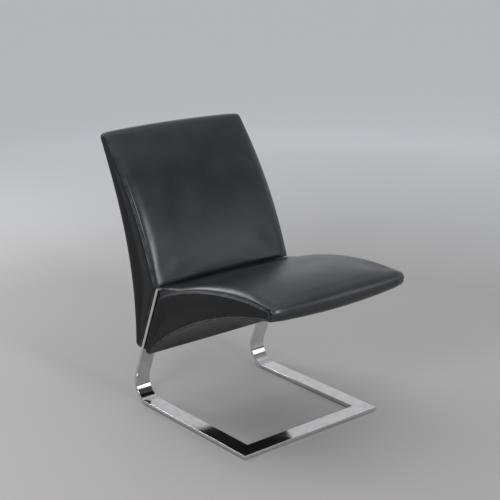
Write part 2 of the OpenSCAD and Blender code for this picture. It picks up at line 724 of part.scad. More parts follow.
// Each piece stands in the chair's own frame, over the middle of its footprint
module placed() { translate(slide_to_centre) children(); }

placed() right_floor_bar();
placed() left_floor_bar();
placed() front_floor_bar();
placed() floor_glides();
placed() right_upright();
placed() left_upright();
placed() top_cross_bar();
placed() seat_top_cover();
placed() seat_under_cover();
placed() seat_rear_lining();
placed() seat_side_cover_right();
placed() seat_side_cover_left();
placed() seat_seam_right();
placed() seat_seam_left();
placed() seat_foam();
placed() seat_straps();
placed() seat_cheek_right();
placed() seat_cheek_left();
placed() seat_rear_board();
placed() seat_front_rail();
placed() seat_under_panel();
placed() back_front_cover();
placed() back_rear_cover();
placed() back_lining();
placed() back_side_cover_right();
placed() back_side_cover_left();
placed() back_seam_right();
placed() back_seam_left();
placed() back_foam();
placed() back_straps();
placed() back_cheek_right();
placed() back_cheek_left();
placed() back_lower_board();
placed() back_top_rail();
placed() back_rear_panel();
placed() seat_bolts();
placed() seat_washers();
placed() back_screws();
placed() back_tee_nuts();
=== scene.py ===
# %% [markdown]
# # A cantilever lounge chair
#
# The real chair is one flat steel bar, bent like a spring, with a leather seat bolted in
# front of its two uprights and a tall leather back bolted behind them. The construction
# model already holds every board, bolt and bar at its real size, so this script starts
# from that frame and dresses it: padded leather, stitched seams and polished steel.

# %% Load the chair's frame
import math
from collections import namedtuple

import bpy
import numpy as np
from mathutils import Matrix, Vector


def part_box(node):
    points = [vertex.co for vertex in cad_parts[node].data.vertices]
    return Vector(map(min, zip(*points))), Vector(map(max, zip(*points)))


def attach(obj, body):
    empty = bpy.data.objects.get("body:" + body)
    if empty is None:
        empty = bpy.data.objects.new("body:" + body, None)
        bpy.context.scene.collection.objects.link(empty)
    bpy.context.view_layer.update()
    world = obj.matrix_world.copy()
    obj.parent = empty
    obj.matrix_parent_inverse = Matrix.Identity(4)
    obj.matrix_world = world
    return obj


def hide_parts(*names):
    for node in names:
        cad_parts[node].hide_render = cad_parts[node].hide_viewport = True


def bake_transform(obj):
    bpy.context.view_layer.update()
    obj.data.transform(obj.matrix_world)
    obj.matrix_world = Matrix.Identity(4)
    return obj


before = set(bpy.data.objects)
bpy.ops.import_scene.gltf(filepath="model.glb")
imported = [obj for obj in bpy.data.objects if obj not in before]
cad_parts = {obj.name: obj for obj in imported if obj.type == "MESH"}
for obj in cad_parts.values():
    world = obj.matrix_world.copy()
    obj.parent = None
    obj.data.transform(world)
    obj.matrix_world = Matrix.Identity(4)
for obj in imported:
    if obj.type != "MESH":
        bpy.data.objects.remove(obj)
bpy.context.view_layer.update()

# %% [markdown]
# ## Sizes
#
# All lengths below are millimetres, as a chair maker writes them, and MM turns them into
# Blender's metres. What the frame can tell is read from its boxes. The rest are the same
# driving sizes as in the construction model. The side view is drawn in pairs, [y, z],
# measured from the rear of the bends and from the floor.

# %% Sizes of the frame, the seat and the back
MM = 0.001
FLOOR_BODY = "floor_frame"
SPRUNG_BODY = "seat_and_back"


def box_mm(node):
    """A node's lowest and highest corner in millimetres."""
    low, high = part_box(node)
    return np.array(low) / MM, np.array(high) / MM


rear_of_bends = box_mm("right_floor_bar")[1][1]
front_bar_low, front_bar_high = box_mm("front_floor_bar")
half_frame = front_bar_high[0]
bar_w = front_bar_high[1] - front_bar_low[1]
bar_t = front_bar_high[2] - front_bar_low[2]
glide_h = front_bar_low[2]
floor_d = rear_of_bends - front_bar_low[1]
bend_r, lean = 53, 22
upright_h = box_mm("left_upright")[1][2] - bar_t * math.sin(math.radians(lean))

seat_half_w = box_mm("seat_seam_left")[1][0]
seat_reach, seat_front_h, seat_front_t, seat_nose = 620, 457, 29, 5
seat_rear_h, seat_low_h, seat_low_d = 364, 178, 24
seat_crown, seat_roll = 9, 16

back_half_w = box_mm("back_seam_left")[1][0]
back_h, back_reach, back_top_t, back_top_rise = 804, 140, 30, 8
back_low_h, back_low_in = 199, 18
back_crown, back_roll, back_rear_crown = 9, 7, 3

leather_t, seam_w, gap, lining_t = 2, 5, 0.3, 1.5
roll_w = 34
strap_t, strap_w, cheek_t = 2, 50, 15
print(f"frame {2 * half_frame:.0f} wide, {floor_d:.0f} deep, uprights {upright_h:.0f} high")

# %% [markdown]
# ## The side view
#
# Seat and back are drawn the way an upholsterer draws a pattern: a few corners, and smooth
# curves that leave each corner in a known direction. A Bezier curve does that well,
# because its two handles are just those directions with a length. Angles are degrees from
# the +Y axis, and an outline runs anticlockwise, so that its outside is on its right.

# %% Curves, even spacing and outward normals


def direction(angle):
    """A unit arrow in the side view."""
    turn = math.radians(angle)
    return np.array([math.cos(turn), math.sin(turn)])


def curve(start, end, start_angle, end_angle, shares, steps=80):
    """A smooth curve whose handles are shares of its chord."""
    chord = np.linalg.norm(end - start)
    first = start + direction(start_angle) * chord * shares[0]
    second = end - direction(end_angle) * chord * shares[1]
    t = np.linspace(0, 1, steps + 1)[:, None]
    s = 1 - t
    return s**3 * start + 3 * s * s * t * first + 3 * s * t * t * second + t**3 * end


def lengths_along(run):
    """How far each point lies along a run, by its side view alone."""
    legs = np.linalg.norm(np.diff(run[:, :2], axis=0), axis=1)
    return np.concatenate([[0], np.cumsum(legs)])


def read_at(places, along, path):
    """The points of a path at some places, where along holds the place of each point."""
    return np.stack([np.interp(places, along, column) for column in path.T], axis=-1)


def evenly(run, step, crowd=0.0):
    """The same run with its points an even step apart, or crowded towards both ends."""
    along = lengths_along(run)
    t = np.linspace(0, 1, max(3, round(along[-1] / step) + 1))
    places = along[-1] * (t - crowd * np.sin(2 * math.pi * t) / (2 * math.pi))
    return read_at(places, along, run)


def right_of(arrows):
    """Unit arrows that point to the right of others in the side view."""
    arrows = arrows / np.linalg.norm(arrows, axis=1)[:, None]
    return np.column_stack([arrows[:, 1], -arrows[:, 0]])


def outward(run):
    """The unit normals on the right-hand side of an open run."""
    return right_of(np.gradient(run[:, :2], axis=0))


def join(*runs):
    """Runs laid end to end, without the points that they share."""
    return np.vstack([runs[0]] + [run[1:] for run in runs[1:]])


def paced(first, second, first_share):
    """Two runs laid end to end, with a third column that says how far along a point is.
    The first run takes first_share of it, whatever its real length."""
    pace = [np.linspace(0, first_share, len(first)), np.linspace(first_share, 1, len(second))]
    return join(*(np.column_stack([run, p]) for run, p in zip((first, second), pace)))


# %% Places beside the leaning uprights
bend_out = bend_r + bar_t
bend_centre = np.array([-bend_out, glide_h + bend_out])
upright_angle = lean + 90


def on_upright(s, q):
    """A place s up the upright's straight and q out of its front face."""
    return bend_centre + (bend_r + q) * direction(lean) + s * direction(upright_angle)


def climb(height, q):
    """How far up the upright its place at q reaches a height."""
    level = bend_centre[1] + (bend_r + q) * math.sin(math.radians(lean))
    return (height - level) / math.cos(math.radians(lean))


s_top = climb(upright_h, 0)

# %% The seat's outline
rear_angle, front_angle, under_angle, low_angle = 154, 186, 352.6, 312
rear_share, front_share, under_share, low_share = 0.34, 0.28, 0.304, 0.28
seat_q = -gap
seat_a = on_upright(climb(seat_rear_h, seat_q), seat_q)
seat_b = np.array([-seat_reach, seat_front_h])
seat_c = np.array([-seat_reach, seat_front_h - seat_front_t])
seat_low_s = climb(seat_low_h, seat_q)
seat_d = on_upright(seat_low_s, seat_q) - np.array([seat_low_d, seat_low_d / 4])
seat_e = on_upright(seat_low_s + seat_low_d / 4, seat_q)
nose_share = seat_nose * 4 / 3 / seat_front_t
seat_top = curve(seat_a, seat_b, rear_angle, front_angle, [rear_share, front_share])
nose_line = curve(seat_b, seat_c, front_angle, under_angle, [nose_share, nose_share], 40)
seat_under = curve(seat_c, seat_d, under_angle, low_angle, [under_share, low_share])
seat_corner = curve(seat_d, seat_e, low_angle, upright_angle, [0.5, 0.5], 20)

# %% The back's outline
crest_angle, fall_angle, crease_angle, foot_angle = 62.5, 230.3, 250, 92
fall_share, crease_share, foot_share, crest_share = 0.46, 0.278, 0.369, 0.348
back_q = bar_t + gap
back_g = np.array([back_reach, back_h - back_top_rise])
back_f = np.array([back_reach - back_top_t, back_h])
back_a = on_upright(climb(upright_h, back_q), back_q)
back_low_point = np.array([-back_low_in, back_low_h])
back_i = on_upright(climb(back_low_h - back_low_in / 2, back_q), back_q)
back_crest = curve(back_g, back_f, crest_angle, fall_angle, [0.5, 0.5], 30)
back_front = curve(back_f, back_a, fall_angle, crease_angle, [fall_share, crease_share])
back_corner = curve(back_i, back_low_point, upright_angle + 180, foot_angle, [0.5, 0.5], 20)
back_rear = curve(back_low_point, back_g, foot_angle, crest_angle, [foot_share, crest_share])
print(f"seat top {lengths_along(seat_top)[-1]:.0f}, back front {lengths_along(back_front)[-1]:.0f}")

# %% [markdown]
# ## Making a mesh
#
# Nearly every piece here is a grid: rows follow the side view and columns cross the chair.
# Grids subdivide cleanly, take a cloth simulation well and need no clean-up afterwards. A
# piece says at once which body it moves with, which construction solids it stands for and
# which finish it has. A "rub" value on each point marks where clothes and hands polish it,
# and where a paler tone paints a sheen there: partly wear, partly painted highlight.

# %% Helpers that make a piece


def add_object(name, data):
    """A new object in the scene."""
    made = bpy.data.objects.new(name, data)
    bpy.context.scene.collection.objects.link(made)
    return made


def mesh_piece(name, points, faces, material, replaces=(), rub_and_sheen=None):
    """A smooth mesh from points in millimetres, placed over the middle of the footprint."""
    mesh = bpy.data.meshes.new(name)
    placed = (np.asarray(points, float) + [0, rear_of_bends, 0]) * MM
    mesh.from_pydata(placed.tolist(), [], faces)
    mesh.polygons.foreach_set("use_smooth", [True] * len(mesh.polygons))
    if rub_and_sheen is not None:
        mesh.attributes.new("rub_and_sheen", "FLOAT", "POINT").data.foreach_set("value", rub_and_sheen.ravel())
    mesh.materials.append(material)
    piece = add_object(name, mesh)
    if replaces:
        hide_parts(*replaces)
    return piece


def grid_faces(rows, columns, closed_rows=False, closed_columns=False, flip=False, first=0):
    """The quads of a grid that may close on itself either way. Its points are numbered
    from first."""
    faces = []
    for i in range(rows if closed_rows else rows - 1):
        for j in range(columns if closed_columns else columns - 1):
            next_i, next_j = (i + 1) % rows, (j + 1) % columns
            quad = [first + row * columns + column for row, column in
                    ((i, j), (next_i, j), (next_i, next_j), (i, next_j))]
            faces.append(quad[::-1] if flip else quad)
    return faces


def across(run, xs):
    """A grid from a side-view run and places across the chair, for all rows or for each."""
    grid = np.zeros((len(run), xs.shape[-1], 3))
    grid[:, :, 0] = xs
    grid[:, :, 1:] = run[:, None, :2]
    return grid


def push(grid, arrows, amount):
    """Moves a grid's points in the side view by an amount each, along one arrow or along
    an arrow for each row."""
    grid[:, :, 1:] += arrows.reshape(-1, 1, 2) * amount[..., None]


def add_modifier(piece, kind, **settings):
    """A modifier with its settings, at the end of the piece's list."""
    made = piece.modifiers.new(kind.lower(), kind)
    for key, value in settings.items():
        setattr(made, key, value)


def thicken(piece, thickness, offset=-1):
    """Gives a sheet its thickness, smooths it and lets it move with the seat and back."""
    add_modifier(piece, "SOLIDIFY", thickness=thickness * MM, offset=offset)
    add_modifier(piece, "SUBSURF", levels=1, render_levels=1)
    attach(piece, SPRUNG_BODY)


# %% [markdown]
# ## Material building blocks
#
# Leather, cloth and steel all need small effects that come back with other values: a
# grain, a rubbed edge with its painted sheen, fine polishing marks, a weave. Each is a node
# group with named sockets, so it is built once and each material sets its own numbers. The
# groups work from object coordinates, turned into millimetres. The shader stays in the material.

# %% Nodes, arithmetic and colours


def new_node(tree, kind, inputs=None, **settings):
    """A node whose inputs are set to values, or linked where a socket is given."""
    made = tree.nodes.new("ShaderNode" + kind)
    for key, value in settings.items():
        setattr(made, key, value)
    for key, value in (inputs or {}).items():
        if isinstance(value, bpy.types.NodeSocket):
            tree.links.new(value, made.inputs[key])
        else:
            made.inputs[key].default_value = value
    return made


def calc(tree, operation, first, second=0.0):
    """The result of one step of arithmetic."""
    made = new_node(tree, "Math", {0: first, 1: second}, operation=operation)
    return made.outputs[0]


def spread(tree, value, low, high, to_low=0.0, to_high=1.0):
    """A value moved from one range to another, and kept inside it."""
    made = new_node(tree, "MapRange", {"Value": value, "From Min": low, "From Max": high,
                                       "To Min": to_low, "To Max": to_high})
    return made.outputs[0]


def tint(tree, share, first, second):
    """A colour between two colours."""
    made = new_node(tree, "Mix", {0: share, 6: first, 7: second}, data_type="RGBA")
    return made.outputs[2]


def shaded(colour, share=1.0):
    """A colour made darker or lighter, with the fourth value that a node asks for."""
    return (*[c * share for c in colour], 1)


# %% Node groups, and materials that use them


def new_group(name, inputs, outputs):
    """An empty node group with its sockets, its input node and its output node."""
    tree = bpy.data.node_groups.new(name, "ShaderNodeTree")
    for label, value in inputs.items():
        socket = tree.interface.new_socket(name=label, in_out="INPUT",
                                           socket_type="NodeSocketFloat")
        socket.default_value = value
    for label in outputs:
        tree.interface.new_socket(name=label, in_out="OUTPUT", socket_type="NodeSocketFloat")
    return tree, tree.nodes.new("NodeGroupInput"), tree.nodes.new("NodeGroupOutput")


def place_group(tree, group, **values):
    """A group placed in a material with that material's values."""
    made = tree.nodes.new("ShaderNodeGroup")
    made.node_tree = group
    for label, value in values.items():
        made.inputs[label].default_value = value
    return made


def new_material(name, colour, roughness, metallic=0.0, **sockets):
    """A material with its shader, and the constants that hold all over the surface."""
    material = bpy.data.materials.new(name)
    material.use_nodes = True
    shader = material.node_tree.nodes["Principled BSDF"]
    shader.inputs["Base Color"].default_value = (*colour, 1)
    shader.inputs["Roughness"].default_value = roughness
    shader.inputs["Metallic"].default_value = metallic
    for label, value in sockets.items():
        shader.inputs[label.replace("_", " ")].default_value = value
    return material, material.node_tree, shader


def dress(tree, shader, height, depth, colour=None, roughness=None):
    """Links what changes over a surface to its shader: a relief that is depth millimetres
    deep and, where they are given, a colour and a roughness."""
    bump = new_node(tree, "Bump", {"Height": height, "Strength": 1.0, "Distance": depth * MM})
    tree.links.new(bump.outputs[0], shader.inputs["Normal"])
    for label, value in (("Base Color", colour), ("Roughness", roughness)):
        if value is not None:
            tree.links.new(value, shader.inputs[label])


# %% Patterns in millimetres


def object_mm(tree):
    """The place on the object in millimetres, where a pattern is looked up."""
    place = new_node(tree, "TexCoord").outputs["Object"]
    return new_node(tree, "VectorMath", {0: place, 3: 1 / MM}, operation="SCALE").outputs[0]


def sized_noise(tree, place, size, detail, distortion=0.0):
    """Noise whose blotches have the size that a socket gives in millimetres."""
    scale = calc(tree, "DIVIDE", 1.0, size)
    made = new_node(tree, "TexNoise", {"Vector": place, "Scale": scale, "Detail": detail,
                                       "Distortion": distortion})
    return made.outputs[0]


# %% [markdown]
# ### Grain
#
# Smooth furniture leather has pebbles a millimetre or so wide with finer pores between
# them, and it is never evenly glossy, because the finish is thicker in one place than in
# another. A smooth Voronoi pattern gives the pebbles, fine noise the pores, and broad
# noise the cloudy change of gloss.

# %% The grain group
grain, entry, exit_node = new_group(
    "hide_grain", {"Pebble": 1.4, "Pores": 0.35, "Cloud": 90.0}, ["Height", "Cloudiness"])
in_mm = object_mm(grain)
pebble_scale = calc(grain, "DIVIDE", 1.0, entry.outputs["Pebble"])
pebbles = new_node(grain, "TexVoronoi", {"Vector": in_mm, "Scale": pebble_scale,
                                         "Smoothness": 0.6}, feature="SMOOTH_F1")
pores = new_node(grain, "TexNoise", {"Vector": in_mm, "Scale": 1.9, "Detail": 2.0})
pore_height = calc(grain, "MULTIPLY", pores.outputs[0], entry.outputs["Pores"])
pebble_height = calc(grain, "SUBTRACT", 1.0, pebbles.outputs["Distance"])
grain.links.new(calc(grain, "ADD", pebble_height, pore_height), exit_node.inputs["Height"])
cloud = sized_noise(grain, in_mm, entry.outputs["Cloud"], 4.0)
grain.links.new(spread(grain, cloud, 0.3, 0.7), exit_node.inputs["Cloudiness"])

# %% [markdown]
# ### Rubbed edges and painted sheen
#
# Wear is found where a hand or a trouser leg passes: along the rolled edges and over the
# front. The same places are painted paler, which is partly wear and partly a painted
# highlight for the sheen that light leaves on rolled edges and seams. The mesh already knows
# these places, in its "rub" value. The group only breaks that value up with noise, so that
# no worn edge is an even stripe.

# %% The wear and painted sheen group
# The mask is partly wear and partly painted sheen: the leather is painted paler where it is high.
wear_and_sheen, entry, exit_node = new_group("rubbed_edge_and_sheen", {"Amount": 0.5, "Patch": 25.0}, ["Mask"])
rub_and_sheen_value = new_node(wear_and_sheen, "Attribute", attribute_name="rub_and_sheen").outputs["Fac"]
patches = sized_noise(wear_and_sheen, object_mm(wear_and_sheen), entry.outputs["Patch"], 5.0)
broken = calc(wear_and_sheen, "MULTIPLY", rub_and_sheen_value, spread(wear_and_sheen, patches, 0.35, 0.65))
amount = calc(wear_and_sheen, "MULTIPLY", broken, entry.outputs["Amount"])
wear_and_sheen.links.new(amount, exit_node.inputs["Mask"])

# %% [markdown]
# ### Polishing marks
#
# A buffing wheel leaves fine lines along the bar, and handling adds faint smudges. Noise
# that is stretched many times along one axis gives the lines.

# %% The polish group
polish, entry, exit_node = new_group(
    "polish_marks", {"Line": 0.5, "Stretch": 60.0, "Smudge": 45.0}, ["Lines", "Smudges"])
in_mm = object_mm(polish)
apart = new_node(polish, "SeparateXYZ", {0: in_mm})
drawn_out = calc(polish, "DIVIDE", apart.outputs[1], entry.outputs["Stretch"])
lined = new_node(polish, "CombineXYZ", {0: apart.outputs[0], 1: drawn_out,
                                        2: apart.outputs[2]})
lines = sized_noise(polish, lined.outputs[0], entry.outputs["Line"], 2.0)
polish.links.new(lines, exit_node.inputs["Lines"])
smudges = sized_noise(polish, in_mm, entry.outputs["Smudge"], 5.0, 0.6)
polish.links.new(spread(polish, smudges, 0.45, 0.75), exit_node.inputs["Smudges"])

# %% [markdown]
# ### Weave
#
# Webbing and lining are plain weaves: threads that pass over and under each other. Two
# sine waves at right angles, each strong where the other is weak, give that basket look.

# %% The weave group
weave, entry, exit_node = new_group("plain_weave", {"Thread": 1.2}, ["Height", "Fuzz"])
in_mm = object_mm(weave)
apart = new_node(weave, "SeparateXYZ", {0: in_mm})
down = calc(weave, "ADD", apart.outputs[1], apart.outputs[2])
turn_per_mm = calc(weave, "DIVIDE", math.pi, entry.outputs["Thread"])
warp = calc(weave, "SINE", calc(weave, "MULTIPLY", apart.outputs[0], turn_per_mm))
weft = calc(weave, "SINE", calc(weave, "MULTIPLY", down, turn_per_mm))
crossing = calc(weave, "MULTIPLY", warp, weft)
weave.links.new(spread(weave, crossing, -1.0, 1.0), exit_node.inputs["Height"])
fuzz = new_node(weave, "TexNoise", {"Vector": in_mm, "Scale": 1.5, "Detail": 3.0})
weave.links.new(fuzz.outputs[0], exit_node.inputs["Fuzz"])

# %% [markdown]
# ## Finishes
#
# Leather, plywood and cloth have a short function each. The other finishes are all made
# the same way, by make_finish: one group gives a relief and a second pattern, and that
# second pattern moves the colour, the roughness or both between two ends. So polished
# steel gets buffing lines and faint smudges, zinc is dull and streaky, nylon has the spark
# texture of its mould, thread has a fine sheen, and foam has cells a millimetre wide.

# %% Leather, in three tones: the side tone is painted shade, the seam tone partly a painted highlight
cloud_dark, cloud_pale = 0.8, 1.2
cloud_gloss, cloud_dull, rubbed_gloss = 0.04, 0.05, 0.06


def make_leather(name, colour, worn_and_sheen_colour, roughness, pebble, depth, amount, shine=0.5):
    """Black furniture leather: cloudy gloss, pebbled relief and paler rubbed edges, partly wear and
    partly a painted sheen.
    """
    material, tree, shader = new_material(name, colour, roughness, Specular_IOR_Level=shine)
    grained = place_group(tree, grain, Pebble=pebble)
    mask = place_group(tree, wear_and_sheen, Amount=amount).outputs["Mask"]
    cloudiness = grained.outputs["Cloudiness"]
    clouded = tint(tree, cloudiness, shaded(colour, cloud_dark), shaded(colour, cloud_pale))
    gloss = spread(tree, cloudiness, 0, 1, roughness - cloud_gloss, roughness + cloud_dull)
    polished = calc(tree, "SUBTRACT", gloss, calc(tree, "MULTIPLY", mask, rubbed_gloss))
    # Paler where the mask is high: partly wear, partly a painted sheen on edges and seams.
    dress(tree, shader, grained.outputs["Height"], depth,
          tint(tree, mask, clouded, shaded(worn_and_sheen_colour)), polished)
    return material


cover_leather = make_leather("cover_leather", (0.0115, 0.0122, 0.015), (0.03, 0.032, 0.037),
                             roughness=0.34, pebble=1.3, depth=0.05, amount=0.6)
# The same leather painted darker: painted shade for the side panels and the underside.
shaded_side_leather = make_leather("shaded_side_leather", (0.0065, 0.0066, 0.0068), (0.02, 0.021, 0.022),
                            roughness=0.42, pebble=1.3, depth=0.05, amount=0.5, shine=0.22)
# Paler than the covers and rubbed all over: a painted highlight on the seam's lips, partly wear.
seam_leather = make_leather("seam_leather", (0.014, 0.015, 0.018), (0.06, 0.062, 0.068),
                            roughness=0.34, pebble=1.0, depth=0.04, amount=0.8)

# %% Steel, zinc, nylon, thread and foam
bright_steel, smudged_steel = (0.70, 0.695, 0.69), (0.60, 0.59, 0.58)


def make_finish(name, colour, roughness, group, depth, rough=None, tones=None,
                metallic=0.0, shine=0.5, **values):
    """A finish with one group: its first output is the relief, and its second moves the
    roughness along the range rough and the colour between two tones, where given."""
    material, tree, shader = new_material(name, colour, roughness, metallic,
                                          Specular_IOR_Level=shine)
    relief, pattern = place_group(tree, group, **values).outputs
    dress(tree, shader, relief, depth,
          tint(tree, pattern, *map(shaded, tones)) if tones else None,
          spread(tree, pattern, *rough) if rough else None)
    return material


steel, ground_steel = (
    make_finish(name, bright_steel, smoothest, polish, 0.003, (0, 1, smoothest, dullest),
                (bright_steel, smudged_steel), metallic=1.0, Line=0.6, Stretch=80.0,
                Smudge=28.0)
    for name, smoothest, dullest in (("mirror_steel", 0.08, 0.16), ("ground_steel", 0.3, 0.4)))
zinc = make_finish("zinc_plate", (0.55, 0.55, 0.53), 0.4, polish, 0.01, (0, 1, 0.32, 0.5),
                   metallic=1.0, Line=0.4, Stretch=4.0, Smudge=6.0)
nylon = make_finish("glide_nylon", (0.02, 0.02, 0.021), 0.5, grain, 0.03,
                    (0, 1, 0.44, 0.58), Pebble=0.5, Pores=0.6, Cloud=20.0)
thread = make_finish("seam_thread", (0.015, 0.015, 0.016), 0.7, weave, 0.08,
                     (0.3, 0.7, 0.62, 0.8), shine=0.3, Thread=0.35)
foam = make_finish("seat_foam_cells", (0.72, 0.63, 0.40), 0.85, grain, 0.4,
                   tones=((0.74, 0.66, 0.44), (0.66, 0.56, 0.33)), Pebble=1.1, Pores=0.8,
                   Cloud=60.0)

# %% Plywood


def make_plywood():
    """Bare birch plywood: pale veneer with long grain."""
    material, tree, shader = new_material("birch_plywood", (0.55, 0.40, 0.24), 0.6)
    place = new_node(tree, "TexCoord").outputs["Object"]
    stretch = new_node(tree, "VectorMath", {0: place, 1: (12.0, 90.0, 90.0)},
                       operation="MULTIPLY").outputs[0]
    figure = new_node(tree, "TexNoise", {"Vector": stretch, "Scale": 1.0, "Detail": 6.0,
                                         "Distortion": 0.8})
    grain_share = spread(tree, figure.outputs[0], 0.3, 0.7)
    colour = tint(tree, grain_share, (0.60, 0.45, 0.28, 1), (0.44, 0.30, 0.17, 1))
    dress(tree, shader, figure.outputs[0], 0.1, colour)
    return material


plywood = make_plywood()

# %% Webbing and lining


def make_cloth(name, colour, thread_w, depth):
    """A plain weave in one colour."""
    material, tree, shader = new_material(name, colour, 0.8)
    woven = place_group(tree, weave, Thread=thread_w)
    shade = tint(tree, woven.outputs["Height"], shaded(colour, 0.6), shaded(colour, 1.3))
    rough = spread(tree, woven.outputs["Fuzz"], 0.3, 0.7, 0.7, 0.9)
    dress(tree, shader, woven.outputs["Height"], depth, shade, rough)
    return material


webbing = make_cloth("webbing_weave", (0.03, 0.03, 0.032), 2.2, 0.5)
lining_cloth = make_cloth("lining_weave", (0.022, 0.022, 0.024), 0.9, 0.15)
print("materials", len(bpy.data.materials))

# %% [markdown]
# ## The steel bar
#
# Each side of the frame is one flat bar: it lies on the floor, turns up through a bend
# behind and leans forward as the upright. The construction model splits it at the line
# where its spring is gathered. Here it is swept in one piece, with its edges eased by
# half a millimetre or so.

# %% A flat bar swept along the side view
edge_ease = 0.7


def eased_section(width, height, ease, steps=3):
    """The outline of a flat bar with eased edges, anticlockwise about its middle."""
    corners = [(1, -1, -90), (1, 1, 0), (-1, 1, 90), (-1, -1, 180)]
    section = []
    for right, up, start in corners:
        centre = np.array([right * (width / 2 - ease), up * (height / 2 - ease)])
        for k in range(steps + 1):
            section.append(centre + ease * direction(start + 90 * k / steps))
    return np.array(section)


bar_section = eased_section(bar_w, bar_t, edge_ease)


def capped(rings):
    """Points and faces of a swept bar with its two ends closed."""
    count, sides = rings.shape[:2]
    faces = grid_faces(count, sides, closed_columns=True)
    faces.append(list(range(sides)))
    faces.append([(count - 1) * sides + k for k in range(sides)][::-1])
    return rings.reshape(-1, 3), faces


def bar_piece(name, rings, nodes):
    """A swept steel bar that is smooth along its sides and flat across its two ends."""
    points, faces = capped(rings)
    piece = mesh_piece(name, points, faces, steel, nodes)
    ends, sides = {0, len(rings) - 1}, rings.shape[1]
    for edge in piece.data.edges:
        rings_met = {vertex // sides for vertex in edge.vertices}
        edge.use_edge_sharp = len(rings_met) == 1 and rings_met <= ends
    for face in piece.data.polygons:
        face.use_smooth = face.loop_total == 4
    add_modifier(piece, "WEIGHTED_NORMAL", keep_sharp=True, weight=60)
    return piece


# %% The two side bars
floor_rings, bend_rings, upright_rings, mitre_clear = 12, 72, 10, 1.2


def side_bar(side, name, nodes):
    """One floor bar, its bend and its upright, with the mitre at the front."""
    middle_r = bend_r + bar_t / 2
    past_mitre = np.linspace(mitre_clear * bar_w - floor_d, bend_centre[0], floor_rings - 1)
    floor_run = [np.array([y, glide_h + bar_t / 2]) for y in (-floor_d, *past_mitre)]
    bend_run = [bend_centre + middle_r * direction(a)
                for a in np.linspace(-90, lean, bend_rings + 1)]
    rise = [on_upright(s, bar_t / 2) for s in np.linspace(0, s_top, upright_rings)]
    line = np.array(floor_run + bend_run[1:] + rise[1:])
    normal = -outward(line)
    normal[:floor_rings] = [0, 1]
    normal[1 - upright_rings:] = -direction(lean)
    middle_x = side * (half_frame - bar_w / 2)
    rings = across(line, middle_x + bar_section[:, 0])
    push(rings, normal, bar_section[:, 1])
    rings[0, :, 1] = -floor_d + half_frame - np.abs(rings[0, :, 0])
    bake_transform(bar_piece(name, rings, nodes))


for side, label in ((-1, "right"), (1, "left")):
    side_bar(side, f"side_bar_{label}", [f"{label}_floor_bar", f"{label}_upright"])
print(f"bend {bend_r} inside, floor bars {floor_d + bend_centre[0]:.0f} long")

# %% The bar across the front, mitred into the side bars
front_rings, weld_overlap = 9, 0.4
rings = np.zeros((front_rings, len(bar_section), 3))
rings[:, :, 1] = bar_w / 2 - floor_d - bar_section[:, 0]
rings[:, :, 2] = glide_h + bar_t / 2 + bar_section[:, 1]
mitred_half = half_frame - (rings[0, :, 1] + floor_d) + weld_overlap
rings[:, :, 0] = np.linspace(-1, 1, front_rings)[:, None] * mitred_half
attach(bar_piece("front_bar", rings, ["front_floor_bar"]), FLOOR_BODY)
print(f"front bar {2 * mitred_half.max():.0f} long, {len(bar_section)} points round it")

# %% [markdown]
# ## Boards, bolts and glides
#
# These keep the construction model's own solids, which already have their true holes. A
# small bevel eases their edges, as a router or a die would, and each gets its finish.

# %% Finish the solids that stay
for node_names, finish, bevel in (
        (["top_cross_bar"], ground_steel, 2.5), (["floor_glides"], nylon, 0.6),
        (["seat_cheek_right", "seat_cheek_left", "seat_rear_board", "seat_front_rail",
          "seat_under_panel", "back_cheek_right", "back_cheek_left", "back_lower_board",
          "back_top_rail", "back_rear_panel"], plywood, 0.8),
        (["seat_bolts", "seat_washers", "back_screws", "back_tee_nuts"], zinc, 0.25)):
    for node_name in node_names:
        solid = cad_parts[node_name]
        solid.data.materials.clear()
        solid.data.materials.append(finish)
        add_modifier(solid, "BEVEL", width=bevel * MM, segments=2, limit_method="ANGLE",
                     angle_limit=math.radians(35))
        add_modifier(solid, "WEIGHTED_NORMAL", keep_sharp=True)
print("solids kept", sum(1 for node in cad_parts.values() if not node.hide_render))

# %% [markdown]
# ## Padded covers
#
# A padded face is its side-view curve carried across the chair and swollen: a low crown
# over the middle, and a rolled edge that drops almost upright into the side seam. The
# swell changes along the cover, so each cover has a short table of shares for it.

# %% Swell of a padded face
seat_swell = [2.0, 1.05, 1, 1, 1, 1, 0.85, 0.6, 0.35, 0.2, 0]
seat_crown_shares = [0, 0.15, 0.7, 1, 1, 1, 0.85, 0.7, 0.5, 0.3, 0]
back_swell = [0, 0.3, 0.35, 0.45, 0.75, 0.95, 1, 1, 1, 1, 1]
back_crown_shares = [0, 0.75, 0.8, 0.7, 0.8, 0.95, 1, 1, 1, 1, 1]
rear_swell = [0, 0.7, 1, 1, 1, 0.7, 0]
seat_rear_roll_w, seat_roll_w, nose_roll_w, back_roll_w = 6, 26, 16, 32
back_roll_lift = 1.4
Face = namedtuple("Face", "crown roll swell crown_shares roll_widths creased",
                  defaults=[(back_roll_w,) * 3, None])
seat_face = Face(seat_crown, seat_roll, seat_swell, seat_crown_shares,
                 (seat_rear_roll_w, seat_roll_w, nose_roll_w), creased=0)
back_face = Face(back_crown, back_roll, back_swell, back_crown_shares, creased=-1)
back_rear_face = Face(back_rear_crown, 0, rear_swell, rear_swell)
under_face = Face(0.8, 0, [0, 1, 1, 0.6, 0], [0, 1, 1, 0.6, 0])

# %% The swollen grid of a cover
seat_crease_roll, back_crease_roll, crease_reach = 7, 18, 30
roll_places = [0, 0.15, 0.55, 0.72, 1]
roll_columns, column_step, row_step, row_crowd = 9, 7, 5, 0.72
end_slope = 1.3


